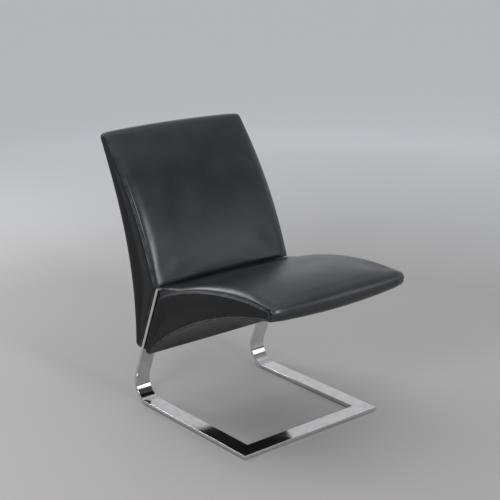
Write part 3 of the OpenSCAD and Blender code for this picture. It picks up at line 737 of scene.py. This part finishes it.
def smooth_share(table, places):
    """A table of shares read smoothly at places from 0 to 1."""
    table = np.array(table, float)
    slopes = np.gradient(table)
    slopes[[0, -1]] = (table[1] - table[0]) * end_slope, (table[-1] - table[-2]) * end_slope
    x = np.clip(places, 0, 1) * (len(table) - 1)
    i = np.minimum(x.astype(int), len(table) - 2)
    t = x - i
    rise = t * t * (3 - 2 * t)
    return (table[i] + (table[i + 1] - table[i]) * rise
            + slopes[i] * t * (1 - t) ** 2 - slopes[i + 1] * t * t * (1 - t))


def stations(half):
    """Places across a cover, close together over its rolled edges."""
    roll = half - roll_w * (1 - np.cos(np.linspace(0, math.pi / 2, roll_columns + 1)))
    flat = half - roll_w
    middle = np.linspace(-flat, flat, max(4, round(2 * flat / column_step)) + 1)
    return np.concatenate([-roll, middle[1:-1], roll[::-1]])


def quarter_round(share):
    """The height of a quarter circle at a share of its width."""
    return np.sqrt(1 - (1 - np.clip(share, 0, 1)) ** 2)


def padded_grid(run, half, depth, face, share):
    """The swollen grid of a cover, depth inside its outer skin, with a share of its full
    swell. Its side rolls have three widths, for its start, middle and end, and creased is
    0 or -1 for the end that rolls down into the crease. The seat's end swells along the
    uprights there."""
    xs = stations(half)
    crown, roll, creased = face.crown * share, face.roll * share, face.creased
    start_w, middle_w, end_w = face.roll_widths
    widths = np.interp(run[:, 2], roll_places,
                       [start_w, middle_w, middle_w, end_w, end_w])[:, None]
    side_roll = quarter_round((half - np.abs(xs))[None, :] / widths)
    crown_share = smooth_share(face.crown_shares, run[:, 2])[:, None]
    swell = (crown * crown_share * (1 - (xs / half) ** 2)
             + roll * smooth_share(face.swell, run[:, 2])[:, None] * side_roll)
    normal = outward(run)
    if creased is not None:
        from_end = np.abs(lengths_along(run) - lengths_along(run)[creased])
        end_roll = seat_crease_roll if creased == 0 else back_crease_roll
        swell *= quarter_round(from_end / end_roll)[:, None]
    if creased == 0:
        beside_bar = np.exp(-from_end / crease_reach)[:, None]
        normal = normal * (1 - beside_bar) + direction(upright_angle) * beside_bar
        normal /= np.linalg.norm(normal, axis=1)[:, None]
    lift = swell - np.broadcast_to(depth, len(run))[:, None]
    grid = across(run, xs)
    push(grid, normal, lift)
    return grid


def before_bar(points, room):
    """Side-view places pushed forward until they clear the uprights' front faces."""
    past = (points - bend_centre) @ direction(lean) - bend_r + room
    return points - np.maximum(past, 0)[..., None] * direction(lean)


# %% [markdown]
# ### The seat's nose and rear edge
#
# Over its thin front board the leather is pulled round in one tight roll, so the nose is
# an arc in the side view and the grid is drawn towards it. At the rear the cushion is
# squeezed against the uprights: its edge dips a little over the steel cross bar, and its
# two ends swell over the side seams.

# %% Shape the seat's nose and rear edge
dip_from, dip_to, dip_by, dip_soft, dip_reach = 22, 178, 5, 5, 70
rear_bulge, nose_bulge, bulge_in = 12, 7, 3
nose_bulge_from, nose_bulge_over = 0.5, 0.12
nose_from, nose_r, nose_start, nose_end = 0.62, 30, 98, 262
nose_centre = np.array([-seat_reach - 6, seat_front_h - 9.5])
nose_foot_angle, nose_foot_shares = 60, [0.5, 0.4]
nose_w, nose_roll_share, nose_blend = 40, 0.5, 0.08


def nose_profile(past):
    """The round nose at the middle of the seat, from its top at 0 to its seam at 1."""
    arc = nose_centre + nose_r * np.array([direction(a) for a in
                                           np.linspace(nose_start, nose_end, 60)])
    path = join(arc, curve(arc[-1], seat_c, nose_end + 90, nose_foot_angle,
                           nose_foot_shares, 24))
    return read_at(past, np.linspace(0, 1, len(path)), path)


def seat_shape(grid, run):
    """Rounds the seat's nose, and fits its rear edge to the uprights. The edge lies a
    little lower over a stretch of the cross bar, and its ends bulge over the seams."""
    x, from_rear = grid[:, :, 0], lengths_along(run)[:, None]
    half = np.abs(x).max()
    inside = half - np.abs(x)
    past = np.clip((run[:, 2] - nose_from) / (1 - nose_from), 0, 1)
    to_nose = nose_profile(past) - grid[:, grid.shape[1] // 2, 1:]
    to_nose *= np.clip(past / nose_blend, 0, 1)[:, None]
    share = (nose_roll_share * quarter_round(inside / nose_w)
             + (1 - nose_roll_share) * (1 - (x / half) ** 2))
    push(grid, to_nose, share)
    past_start, past_end = ((x - edge) / dip_soft for edge in (dip_from, dip_to))
    dip = dip_by / (1 + np.exp(-past_start)) / (1 + np.exp(past_end))
    dip = dip * np.exp(-from_rear / dip_reach)
    grid[:, :, 1:] = before_bar(grid[:, :, 1:] - dip[:, :, None] * direction(upright_angle),
                                leather_t)
    over = inside / bulge_in * np.exp(1 - inside / bulge_in)
    bulge = (rear_bulge * np.exp(-from_rear / crease_reach)
             + nose_bulge * np.clip((run[:, 2] - nose_bulge_from) / nose_bulge_over,
                                    0, 1)[:, None])
    grid[:, :, 0] += np.sign(x) * bulge * over
    return grid


# %% [markdown]
# ### Cloth simulation for the covers
#
# Leather over foam is never the plain surface of a formula: it pulls from seam to seam and
# fills out between them. So each cover starts a little flat, its rim is pinned at the
# seams, and Blender's cloth blows it up with a light pressure and no gravity. How far a
# point may move is capped, which keeps the cushion at its measured size.

# %% Blow a cover up against its seams
sim_frames, evening_passes = 20, 30
leather_cloth = {"quality": 6, "mass": 0.5, "tension_stiffness": 40,
                 "compression_stiffness": 40, "shear_stiffness": 25,
                 "bending_stiffness": 4, "use_pressure": True}


def coordinates(mesh):
    """A mesh's points as an array of rows."""
    flat = np.zeros(len(mesh.vertices) * 3)
    mesh.vertices.foreach_get("co", flat)
    return flat.reshape(-1, 3)


def puff(piece, pinned, pressure, cap, grid_shape):
    """Simulates the cover as cloth and keeps each point within cap millimetres. The
    travel is evened out between neighbours, as foam does under taut leather."""
    rest = coordinates(piece.data)
    seams = piece.vertex_groups.new(name="seams")
    seams.add([int(k) for k in pinned], 1.0, "REPLACE")
    cloth = piece.modifiers.new("leather", "CLOTH")
    for setting, value in leather_cloth.items():
        setattr(cloth.settings, setting, value)
    cloth.settings.uniform_pressure_force = pressure
    cloth.settings.effector_weights.gravity = 0
    cloth.settings.vertex_group_mass = "seams"
    cloth.collision_settings.use_collision = False
    scene = bpy.context.scene
    for number in range(1, sim_frames + 1):
        scene.frame_set(number)
    moved = coordinates(piece.evaluated_get(bpy.context.evaluated_depsgraph_get()).data)
    travel = moved - rest
    far = np.linalg.norm(travel, axis=1)
    kept = np.tanh(far / (cap * MM)) * cap * MM
    travel *= (kept / np.maximum(far, 1e-9))[:, None]
    field = travel.reshape(*grid_shape, 3)
    for _ in range(evening_passes):
        around = (field[:-2, 1:-1] + field[2:, 1:-1] + field[1:-1, :-2] + field[1:-1, 2:]) / 4
        field[1:-1, 1:-1] = (field[1:-1, 1:-1] + around) / 2
    piece.modifiers.clear()
    piece.vertex_groups.clear()
    scene.frame_set(1)
    piece.data.vertices.foreach_set("co", (rest + travel).ravel())
    piece.data.update()
    print(f"{piece.name}: simulated, moved {far.max() / MM:.1f} mm at most, "
          f"kept {kept.max() / MM:.1f} mm")


# %% [markdown]
# ### Puckers
#
# Where the seam turns tightly, at the front corners of the seat and the top corners of
# the back, the leather has too much edge for the seam and gathers into small radial
# folds. Along the straight seams the same thing shows only as a faint dimple at each
# stitch. Both are ripples along the seam that die away from it.

# %% Gathers beside a seam
stitch_pitch = 7
tuck_depth, tuck_reach, seam_hold = 3.0, 0.4, 0.3
long_wander, long_way, short_wander, short_way = 0.9, 31, 0.6, 13


def pucker(grid, run, shares, depth, fade, pitch):
    """Ripples the grid's side edges along its run, after a table of shares. The ripples
    wander, so that no two folds lie the same distance apart."""
    along = lengths_along(run)
    share = smooth_share(shares, run[:, 2])
    wander = (long_wander * np.sin(along / long_way)
              + short_wander * np.sin(along / short_way + 1))
    ripple = depth * share * np.sin(2 * math.pi * along / pitch + wander)
    xs = np.abs(grid[0, :, 0])
    near = np.exp(-(xs.max() - xs) / fade)
    near[[0, -1]] *= seam_hold
    push(grid, outward(run), ripple[:, None] * near)
    return grid


def rim_of(rows, columns):
    """The numbers of a grid's edge points."""
    number = np.arange(rows * columns).reshape(rows, columns)
    return np.unique(np.concatenate([number[0], number[-1], number[:, 0], number[:, -1]]))


def tucked(grid, run):
    """The grid with one more column on each side that turns down behind the seam."""
    columns = []
    for k, side in ((0, -1), (-1, 1)):
        column = grid[:, k].copy()
        column[:, 0] += side * tuck_reach
        column[:, 1:] -= outward(run) * tuck_depth
        columns.append(column[:, None])
    return np.concatenate([columns[0], grid, columns[1]], axis=1)


# %% From a drawn face to a finished cover


def cover_piece(name, run, face, material, node, start_share, pressure, cap, gathers=None,
                rub_and_sheen_front=0.0, shape=None):
    """A padded leather cover: swollen grid, gathers, simulation, thickness, smoothing."""
    half = seat_cover_half if name.startswith("seat") else back_cover_half
    fine = evenly(run, row_step, row_crowd)
    grid = padded_grid(fine, half, 0, face, start_share)
    if gathers:
        grid = pucker(grid, fine, *gathers)
    if shape:
        grid = shape(grid, fine)
    grid = tucked(grid, fine)
    rows, columns = grid.shape[:2]
    # Paler near the side seams and towards the front: partly wear, partly painted sheen on the
    # rolled edges.
    edge = np.exp(-(half - np.abs(grid[:, :, 0])) / (roll_w / 2))
    front = np.linspace(0, rub_and_sheen_front, rows)[:, None] ** 2
    piece = mesh_piece(name, grid.reshape(-1, 3), grid_faces(rows, columns), material,
                       [node], np.clip(edge + front, 0, 1))
    pinned = rim_of(rows, columns)
    pinned = np.union1d(pinned, np.union1d(pinned[pinned % columns == 0] + 1,
                                           pinned[pinned % columns == columns - 1] - 1))
    puff(piece, pinned, pressure, cap, (rows, columns))
    thicken(piece, leather_t)
    return piece


# %% The seat's top cover and the back's front cover
seat_cover_half = seat_half_w - seam_w - gap
back_cover_half = back_half_w - seam_w - gap
nose_pace, crest_pace, under_pace, foot_pace = nose_from, 0.3, 0.75, 0.22
seat_gathers = ([0, 0, 0, 0, 0, 0, 0.3, 1, 1, 1, 0.6], 2.2, 9, 9)
back_gathers = ([0.8, 1, 0.6, 0.1, 0, 0, 0, 0, 0, 0, 0], 2.3, 6, 7)
seat_run = paced(seat_top, nose_line, nose_pace)
back_run = paced(back_crest, back_front, crest_pace)
seat_cover = cover_piece("seat_cover", seat_run, seat_face, cover_leather,
                         "seat_top_cover", start_share=0.97, pressure=3, cap=2.5,
                         gathers=seat_gathers, rub_and_sheen_front=0.5, shape=seat_shape)
back_cover = cover_piece("back_cover", back_run,
                         back_face._replace(roll=back_roll * back_roll_lift),
                         cover_leather, "back_front_cover", start_share=0.9, pressure=3,
                         cap=2.5, gathers=back_gathers)

# %% The seat's underside and the back's rear
# The underside takes the darker side leather, as painted shade.
cover_piece("seat_underside", paced(seat_under, seat_corner, under_pace), under_face,
            shaded_side_leather, "seat_under_cover", start_share=1.0, pressure=0.2, cap=1)
cover_piece("back_rear_cover_leather", paced(back_corner, back_rear, foot_pace),
            back_rear_face, cover_leather, "back_rear_cover", start_share=0.8, pressure=1,
            cap=2)

# %% [markdown]
# ## Outlines of the sides
#
# The side panels and the seams that frame them follow one closed outline each. A leather
# seam can't turn a knife-sharp corner, so the corners beside the uprights are eased: the
# outline is spaced evenly and its points are averaged with their neighbours, only there.

# %% Ease the corners of a closed outline
ring_step = 1.75


def eased_ring(ring, corners, window=14, passes=60):
    """A closed outline with even points, rounded near the given corners."""
    closed = evenly(np.vstack([ring, ring[:1]]), ring_step)[:-1]
    near = np.min([np.linalg.norm(closed - c, axis=1) for c in corners], axis=0)
    weight = np.clip(1 - near / window, 0, 1)[:, None]
    for _ in range(passes):
        middle = (np.roll(closed, 1, axis=0) + np.roll(closed, -1, axis=0)) / 2
        closed = closed + (middle - closed) * 0.5 * weight
    return closed


def ring_normals(ring):
    """Outward normals of a closed outline."""
    return right_of(np.roll(ring, -1, axis=0) - np.roll(ring, 1, axis=0))


seat_outline = join(seat_top, nose_line, seat_under, seat_corner)
back_outline = np.vstack([join(back_crest, back_front), join(back_corner, back_rear)[:-1]])
seat_ring = eased_ring(seat_outline, [seat_e])
seat_ring = eased_ring(seat_ring, [seat_a, seat_b], window=6, passes=20)
back_ring = eased_ring(back_outline, [back_a, back_i, back_g])
print("outline lengths", [round(lengths_along(r)[-1]) for r in (seat_ring, back_ring)])

# %% [markdown]
# ## Seams
#
# Each side seam is where two folded leather edges meet and are stitched through. In
# section it is two small rolls with a groove between them, set at 45 degrees on the
# corner. Sweeping that section round the outline makes the seam, and the rolls are
# pinched a little at every stitch. The stitches are separate threads in the groove.

# %% The section of a seam and its sweep
lip_r, lip_apart, lip_points, pinch = 1.8, 2.3, 9, 0.12
upper_arc, lower_arc = (170, -60), (240, 10)


def two_rolls():
    """The seam's section, clockwise from the foot of the upper roll to the lower one's."""
    middle = np.array([-seam_w, -seam_w]) / 2
    up = np.array([1, -1]) / math.sqrt(2)
    out = np.array([1, 1]) / math.sqrt(2)
    section = []
    for upper, arc in ((1, upper_arc), (-1, lower_arc)):
        for a in np.radians(np.linspace(*arc, lip_points)):
            centre = middle + upper * up * lip_apart
            section.append(centre + lip_r * (up * math.cos(a) + out * math.sin(a)))
    return np.array(section), middle, out


def seam_piece(name, ring, half_w, side, nodes):
    """A seam swept round an outline, pinched at its stitches."""
    section, middle, _ = two_rolls()
    if side < 0:
        section = section[::-1]
    along = np.arange(len(ring)) * ring_step
    squeeze = 1 - pinch * np.cos(2 * math.pi * along / stitch_pitch)
    swollen = middle + (section - middle)[None] * squeeze[:, None, None]
    rings = across(ring, side * (half_w + swollen[:, :, 1]))
    push(rings, ring_normals(ring), swollen[:, :, 0])
    faces = grid_faces(len(ring), len(section), True, True)
    # The whole seam takes the paler tone: a painted highlight on its lips, partly wear.
    rub_and_sheen = np.ones(rings.shape[:2])
    piece = mesh_piece(name, rings.reshape(-1, 3), faces, seam_leather, nodes,
                       rub_and_sheen)
    add_modifier(piece, "SUBSURF", levels=1, render_levels=1)
    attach(piece, SPRUNG_BODY)


# %% The threads in the groove
thread_r, thread_out, thread_dip, thread_sides = 0.45, 0.5, 0.5, 6
stitch_share = 0.68
stitch_shape = [(-1.0, 0.15), (-0.85, 0.75), (-0.4, 1.0), (0.4, 1.0), (0.85, 0.75),
                (1.0, 0.15)]


def stitches(name, ring, half_w, side):
    """Short threads that lie in a seam's groove, one at each stitch."""
    _, middle, out = two_rolls()
    bed = middle + out * thread_out
    normal = ring_normals(ring)
    closed = np.vstack([ring, ring[:1]])
    along = lengths_along(closed)
    count = int(along[-1] // stitch_pitch)
    points, faces = [], []
    for k in range(count):
        for reach, width in stitch_shape:
            at = (k + 0.5 + reach * stitch_share / 2) * stitch_pitch
            spot = read_at(at, along, closed)
            n = normal[int(at / along[-1] * len(ring)) % len(ring)]
            dip = thread_dip * abs(reach) ** 3
            for turn in range(thread_sides):
                a = math.radians(360 / thread_sides * turn * side)
                spread_n = bed[0] - dip + thread_r * width * math.cos(a)
                spread_x = bed[1] - dip + thread_r * width * math.sin(a)
                points.append([side * (half_w + spread_x), *(spot + n * spread_n)])
        first = k * len(stitch_shape) * thread_sides
        last = first + (len(stitch_shape) - 1) * thread_sides
        faces += grid_faces(len(stitch_shape), thread_sides, closed_columns=True,
                            first=first)
        faces.append([first + f for f in range(thread_sides)][::-1])
        faces.append([last + f for f in range(thread_sides)])
    piece = mesh_piece(name, points, faces, thread, ())
    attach(piece, SPRUNG_BODY)
    return count


for side, label in ((-1, "right"), (1, "left")):
    for unit, ring, half_w in (("seat", seat_ring, seat_half_w),
                               ("back", back_ring, back_half_w)):
        seam_piece(f"{unit}_seam_roll_{label}", ring, half_w, side, [f"{unit}_seam_{label}"])
        made = stitches(f"{unit}_stitches_{label}", ring, half_w, side)
        print(f"{unit}, {label} side: {made} stitches")

# %% [markdown]
# ## Side panels
#
# A side panel is flat leather stretched over a plywood cheek: its edge rolls into the
# seam and its middle is drawn in a few millimetres. The grid runs between the outline's
# two long sides, and each point sinks by how far it lies from the nearest edge.

# %% Panels between the seams
side_step, side_draw = 1, 3
panel_roll_w, panel_roll_h, draw_w, seam_lap = 6, 2.6, 45, 0.6
panel_columns, panel_row, panel_crowd, rub_and_sheen_reach = 26, 6, 0.35, 10


def crowded(count):
    """Shares from 0 to 1 that lie close together at both ends."""
    return (1 - np.cos(np.linspace(0, math.pi, count + 1))) / 2


def places_along(path, share):
    """Places at shares of a path's length."""
    along = lengths_along(path)
    return read_at(share * along[-1], along, path)


def panel_paths(ring, start, end):
    """The two halves of a closed outline between the points nearest to two places."""
    first = int(np.argmin(np.linalg.norm(ring - start, axis=1)))
    rolled = np.roll(ring, -first, axis=0)
    last = int(np.argmin(np.linalg.norm(rolled - end, axis=1)))
    return rolled[:last + 1], np.vstack([rolled[last:], rolled[:1]])[::-1]


def side_panel(name, ring, start, end, half_w, side, nodes):
    """A leather panel inside an outline."""
    inner = ring - ring_normals(ring) * (seam_w - seam_lap)
    upper, lower = panel_paths(inner, start, end)
    rows = round(lengths_along(upper)[-1] / panel_row)
    u = crowded(rows) * panel_crowd + np.linspace(0, 1, rows + 1) * (1 - panel_crowd)
    low, high = places_along(lower, u), places_along(upper, u)
    flat = low[:, None] + (high - low)[:, None] * crowded(panel_columns)[None, :, None]
    spots = flat.reshape(-1, 2)
    edge = np.min(np.linalg.norm(spots[:, None] - inner[None], axis=2), axis=1)
    drawn = np.clip((edge - panel_roll_w) / draw_w, 0, 1)
    drawn = drawn * drawn * (3 - 2 * drawn)
    rolled_by = panel_roll_h * (1 - quarter_round(edge / panel_roll_w))
    x = half_w - side_step - rolled_by - side_draw * drawn
    # Darker leather as painted shade, paler towards its seams: partly wear, partly painted sheen.
    piece = mesh_piece(name, np.column_stack([side * x, spots]),
                       grid_faces(rows + 1, panel_columns + 1, flip=side < 0),
                       shaded_side_leather, nodes, np.exp(-edge / rub_and_sheen_reach))
    add_modifier(piece, "WELD", merge_threshold=0.2 * MM)
    thicken(piece, leather_t)


nose_middle = nose_line[len(nose_line) // 2]
crest_middle = back_crest[len(back_crest) // 2]
foot_middle = back_corner[len(back_corner) // 2]
for side, label in ((-1, "right"), (1, "left")):
    for unit, ring, start, end, half_w in (
            ("seat", seat_ring, (seat_a + seat_e) / 2, nose_middle, seat_half_w),
            ("back", back_ring, crest_middle, foot_middle, back_half_w)):
        side_panel(f"{unit}_side_panel_{label}", ring, start, end, half_w, side,
                   [f"{unit}_side_cover_{label}"])

# %% [markdown]
# ## Inside the upholstery
#
# Nobody sees the foam, the webbing and the linings on a finished chair, but a part that
# is opened up should hold them. The foam pads fill the space between cover and webbing,
# with softened edges. Webbing and linings are flat cloth, pulled tight.

# %% Foam pads
foam_table = [0.45, 0.8, 1, 0.95, 0.8, 0.5, 0.26, 0.22, 0.22, 0.22, 0.22]
back_foam_table = [0.3, 0.3, 0.42, 0.65, 0.9, 1, 1, 1, 1, 0.8, 0.5]
seat_foam_t, back_foam_t = 38, 28
skin = leather_t + gap
foam_clear, foam_share, foam_step = 1.5, 0.75, 12
seat_core = seat_half_w - side_step - side_draw - leather_t - gap
back_core = back_half_w - side_step - side_draw - leather_t - gap


def pad_depth(run, thick, table):
    """How deep a pad reaches below the skin, after a table of shares of its thickness."""
    return skin + thick * np.interp(run[:, 2], np.linspace(0, 1, len(table)), table)


def foam_pad(name, run, half, face, thick, table, node):
    """A closed pad between the cover's skin and the webbing."""
    fine = evenly(run, foam_step)
    depths = pad_depth(fine, thick, table) + foam_clear
    outer = padded_grid(fine, half, skin + foam_clear, face, foam_share)
    if face.creased == 0:
        outer[:, :, 1:] = before_bar(outer[:, :, 1:], skin + foam_clear)
    inner = across(fine[:, :2] - outward(fine) * depths[:, None], outer[0, :, 0])
    rows, columns = outer.shape[:2]
    count = rows * columns
    faces = grid_faces(rows, columns) + grid_faces(rows, columns, flip=True, first=count)
    number = np.arange(count).reshape(rows, columns)
    rim = np.concatenate([number[0], number[1:, -1], number[-1, -2::-1], number[-2:0:-1, 0]])
    for a, b in zip(rim, np.roll(rim, -1)):
        faces.append([int(a), int(b), int(b) + count, int(a) + count])
    points = np.vstack([outer.reshape(-1, 3), inner.reshape(-1, 3)])
    piece = mesh_piece(name, points, faces, foam, [node])
    add_modifier(piece, "SUBSURF", levels=1, render_levels=1)
    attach(piece, SPRUNG_BODY)


foam_pad("seat_foam_pad", seat_run, seat_core,
         seat_face._replace(roll_widths=(seat_roll_w,) * 3), seat_foam_t, foam_table,
         "seat_foam")
foam_pad("back_foam_pad", back_run, back_core, back_face, back_foam_t, back_foam_table,
         "back_foam")
print(f"foam {seat_foam_t} thick in the seat, {back_foam_t} in the back")

# %% Webbing straps
strap_count, back_strap_count = 5, 6
strap_width_shares = [-1, -0.96, 0, 0.96, 1]
seat_strap_step, back_strap_step, strap_ease = 20, 5, 0.4


def strap_mesh(name, lines, widths, nodes):
    """Flat straps in one piece: each has a centre line in 3D and runs of width."""
    points, faces = [], []
    for line, wide in zip(lines, widths):
        base = len(points)
        for spot in line:
            points += [spot + wide * k * strap_w / 2 for k in strap_width_shares]
        faces += grid_faces(len(line), len(strap_width_shares), first=base)
    piece = mesh_piece(name, points, faces, webbing, nodes)
    add_modifier(piece, "SOLIDIFY", thickness=strap_t * MM, offset=0)
    add_modifier(piece, "BEVEL", width=strap_ease * MM, segments=2, limit_method="ANGLE")
    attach(piece, SPRUNG_BODY)


def foam_back(run, thick, table):
    """The line just behind a foam pad."""
    depth = pad_depth(run, thick, table) + gap + strap_t / 2
    return run[:, :2] - outward(run) * depth[:, None]


seat_line = foam_back(evenly(seat_run[:len(seat_top)], seat_strap_step), seat_foam_t,
                      foam_table)
room = 2 * (seat_core - cheek_t)
strap_xs = [room * ((k + 0.5) / strap_count - 0.5) for k in range(strap_count)]
strap_mesh("seat_webbing", [np.insert(seat_line, 0, x, axis=1) for x in strap_xs],
           [np.array([1, 0, 0])] * strap_count, ["seat_straps"])

back_line = foam_back(evenly(back_run[len(back_crest):], back_strap_step), back_foam_t,
                      back_foam_table)
back_along = lengths_along(back_line)
back_lines, back_wides = [], []
for k in range(back_strap_count):
    middle_at = strap_w + (back_along[-1] - 2 * strap_w) * k / (back_strap_count - 1)
    i = int(np.argmin(np.abs(back_along - middle_at)))
    tangent = (back_line[i + 1] - back_line[i - 1])
    tangent /= np.linalg.norm(tangent)
    xs = np.linspace(-back_core, back_core, 9)
    back_lines.append(np.array([[x, *back_line[i]] for x in xs]))
    back_wides.append(np.array([0, *tangent]))
strap_mesh("back_webbing", back_lines, back_wides, ["back_straps"])

# %% Linings beside the steel
lining_rows, lining_columns, cloth_share = 14, 40, 0.6
slack_by, short_wave, long_wave = 0.25, 23, 61


def lining_sheet(name, s0, s1, q, half, nodes):
    """A stretched cloth beside the uprights, with a slight slack between its edges."""
    xs = np.linspace(-half, half, lining_columns)
    line = np.array([on_upright(s, q) for s in np.linspace(s0, s1, lining_rows)])
    grid = across(line, xs)
    from_edges = np.sin(math.pi * np.linspace(0, 1, lining_rows))[:, None]
    slack = slack_by * from_edges * np.sin(xs / short_wave) * np.sin(xs / long_wave + 1)
    push(grid, direction(lean), slack)
    piece = mesh_piece(name, grid.reshape(-1, 3),
                       grid_faces(lining_rows, lining_columns, flip=q < 0), lining_cloth,
                       nodes)
    thicken(piece, lining_t * cloth_share, 0)


seat_s0 = seat_low_s + seat_low_d / 4
seat_s1 = climb(seat_rear_h, seat_q)
back_s0 = climb(back_low_h - back_low_in / 2, back_q)
back_s1 = climb(upright_h, back_q)
cover_clear = 1.5
lining_sheet("seat_lining_cloth", seat_s0 + 2 * gap, seat_s1 - 2 * leather_t,
             seat_q - lining_t / 2, seat_cover_half, ["seat_rear_lining"])
lining_sheet("back_lining_cloth", back_s0 + 2 * gap, back_s1 - cover_clear,
             back_q + lining_t / 2, back_cover_half, ["back_lining"])

# %% [markdown]
# ## Floor, light and camera
#
# The setting is a plain studio. A wide floor carries the shadow, and it is painted darker
# round the chair, partly as the floor's own tone and partly as painted shade. Polished
# steel shows whatever surrounds it, so the world has a pale wall behind the chair, a
# darker room in front and a soft light overhead. The camera sees only a plain backdrop
# instead. Four soft lamps light the chair.

# %% The floor
floor_size, shade_from, shade_to = 30, 1.4, 4.0
# The darker near tone is partly the floor's own tone and partly painted shade round the chair.
near_floor_and_shade, far_floor = (0.33, 0.32, 0.31), (0.72, 0.725, 0.74)


def make_floor():
    """A pale floor, painted darker round the chair than further away: partly the floor's own tone,
    partly painted shade.
    """
    material, tree, shader = new_material("studio_floor", near_floor_and_shade, 0.6)
    place = new_node(tree, "TexCoord").outputs["Object"]
    distance = new_node(tree, "VectorMath", {0: place}, operation="LENGTH").outputs["Value"]
    far = spread(tree, distance, shade_from, shade_to)
    tree.links.new(tint(tree, far, shaded(near_floor_and_shade), shaded(far_floor)),
                   shader.inputs["Base Color"])
    return material


bpy.ops.mesh.primitive_plane_add(size=floor_size, location=(0, 0, 0))
floor = bpy.context.object
floor.name = "studio_floor"
floor.data.materials.append(make_floor())

# %% The camera
yaw, pitch = 39.776, 16.82
camera_x, camera_behind, camera_z = -2.1429, -2.8213, 1.5009
focal_pixels, frame_pixels, sensor = 1192.3, 500, 36.0
camera_data = bpy.data.cameras.new("camera")
camera = add_object("camera", camera_data)
camera.location = (camera_x, camera_behind + rear_of_bends * MM, camera_z)
camera.rotation_euler = (math.radians(90 - pitch), 0, math.radians(-yaw))
camera_data.sensor_width = sensor
camera_data.lens = focal_pixels / frame_pixels * sensor
bpy.context.scene.camera = camera
print("lens", round(camera_data.lens, 2))

# %% The world
room_light, wall_light = (0.17, 0.175, 0.195), (0.74, 0.75, 0.77)
ceiling_light, backdrop = (1.35, 1.37, 1.41), (0.58, 0.59, 0.61)
wall_from, wall_to, wall_fade_from, wall_fade_to, wall_top = -0.1, 0.4, 0.28, 0.6, 0.5
ceiling_from, ceiling_to = 0.77, 0.95


def make_world():
    """A pale wall behind the chair, a darker room before it and a soft light overhead."""
    world = bpy.data.worlds.new("studio")
    world.use_nodes = True
    bpy.context.scene.world = world
    tree = world.node_tree
    background = tree.nodes["Background"]
    toward = new_node(tree, "TexCoord").outputs["Generated"]
    apart = new_node(tree, "SeparateXYZ", {0: toward})
    behind_x, behind_y = math.sin(math.radians(yaw)), math.cos(math.radians(yaw))
    facing = calc(tree, "ADD", calc(tree, "MULTIPLY", apart.outputs[0], behind_x),
                  calc(tree, "MULTIPLY", apart.outputs[1], behind_y))
    wall = calc(tree, "MULTIPLY", spread(tree, facing, wall_from, wall_to),
                spread(tree, apart.outputs[2], wall_fade_from, wall_fade_to, 1.0, wall_top))
    sides = tint(tree, wall, shaded(room_light), shaded(wall_light))
    overhead = spread(tree, apart.outputs[2], ceiling_from, ceiling_to)
    around = tint(tree, overhead, sides, shaded(ceiling_light))
    seen = new_node(tree, "LightPath").outputs["Is Camera Ray"]
    tree.links.new(tint(tree, seen, around, shaded(backdrop)), background.inputs[0])


make_world()

# %% The lamps
lamp_distance, aim_h = 3.0, 0.45


def soft_lamp(name, azimuth, height_angle, width, height, brightness, colour):
    """A soft lamp that looks at the chair. Azimuth is measured from +Y towards +X, and
    brightness is that of its face, where 1 is white."""
    data = bpy.data.lights.new(name, "AREA")
    data.shape = "RECTANGLE"
    data.size, data.size_y, data.color = width, height, colour
    data.energy = brightness * math.pi * width * height
    lamp = add_object(name, data)
    turn, rise = math.radians(azimuth), math.radians(height_angle)
    away = Vector((math.sin(turn) * math.cos(rise), math.cos(turn) * math.cos(rise),
                   math.sin(rise)))
    lamp.location = away * lamp_distance + Vector((0, 0, aim_h))
    lamp.rotation_euler = (-away).to_track_quat("-Z", "Y").to_euler()
    lamp.visible_camera = False


# Each line gives azimuth, height angle, width, height, brightness and colour.
cool_white = (0.95, 0.97, 1.0)
soft_lamp("front_strip", 180, 24, 0.3, 1.7, 26, cool_white)
soft_lamp("low_fill", 140, 15, 1.1, 1.2, 2.0, cool_white)
soft_lamp("left_window", 242, 28, 0.5, 0.8, 20, cool_white)
soft_lamp("rear_window", -12, 30, 1.5, 1.2, 8, (0.98, 0.99, 1.0))
bpy.context.scene.view_settings.view_transform = "Standard"

# %% [markdown]
# ## Bring the scene up to date
#

# %% Update the scene
bpy.context.view_layer.update()
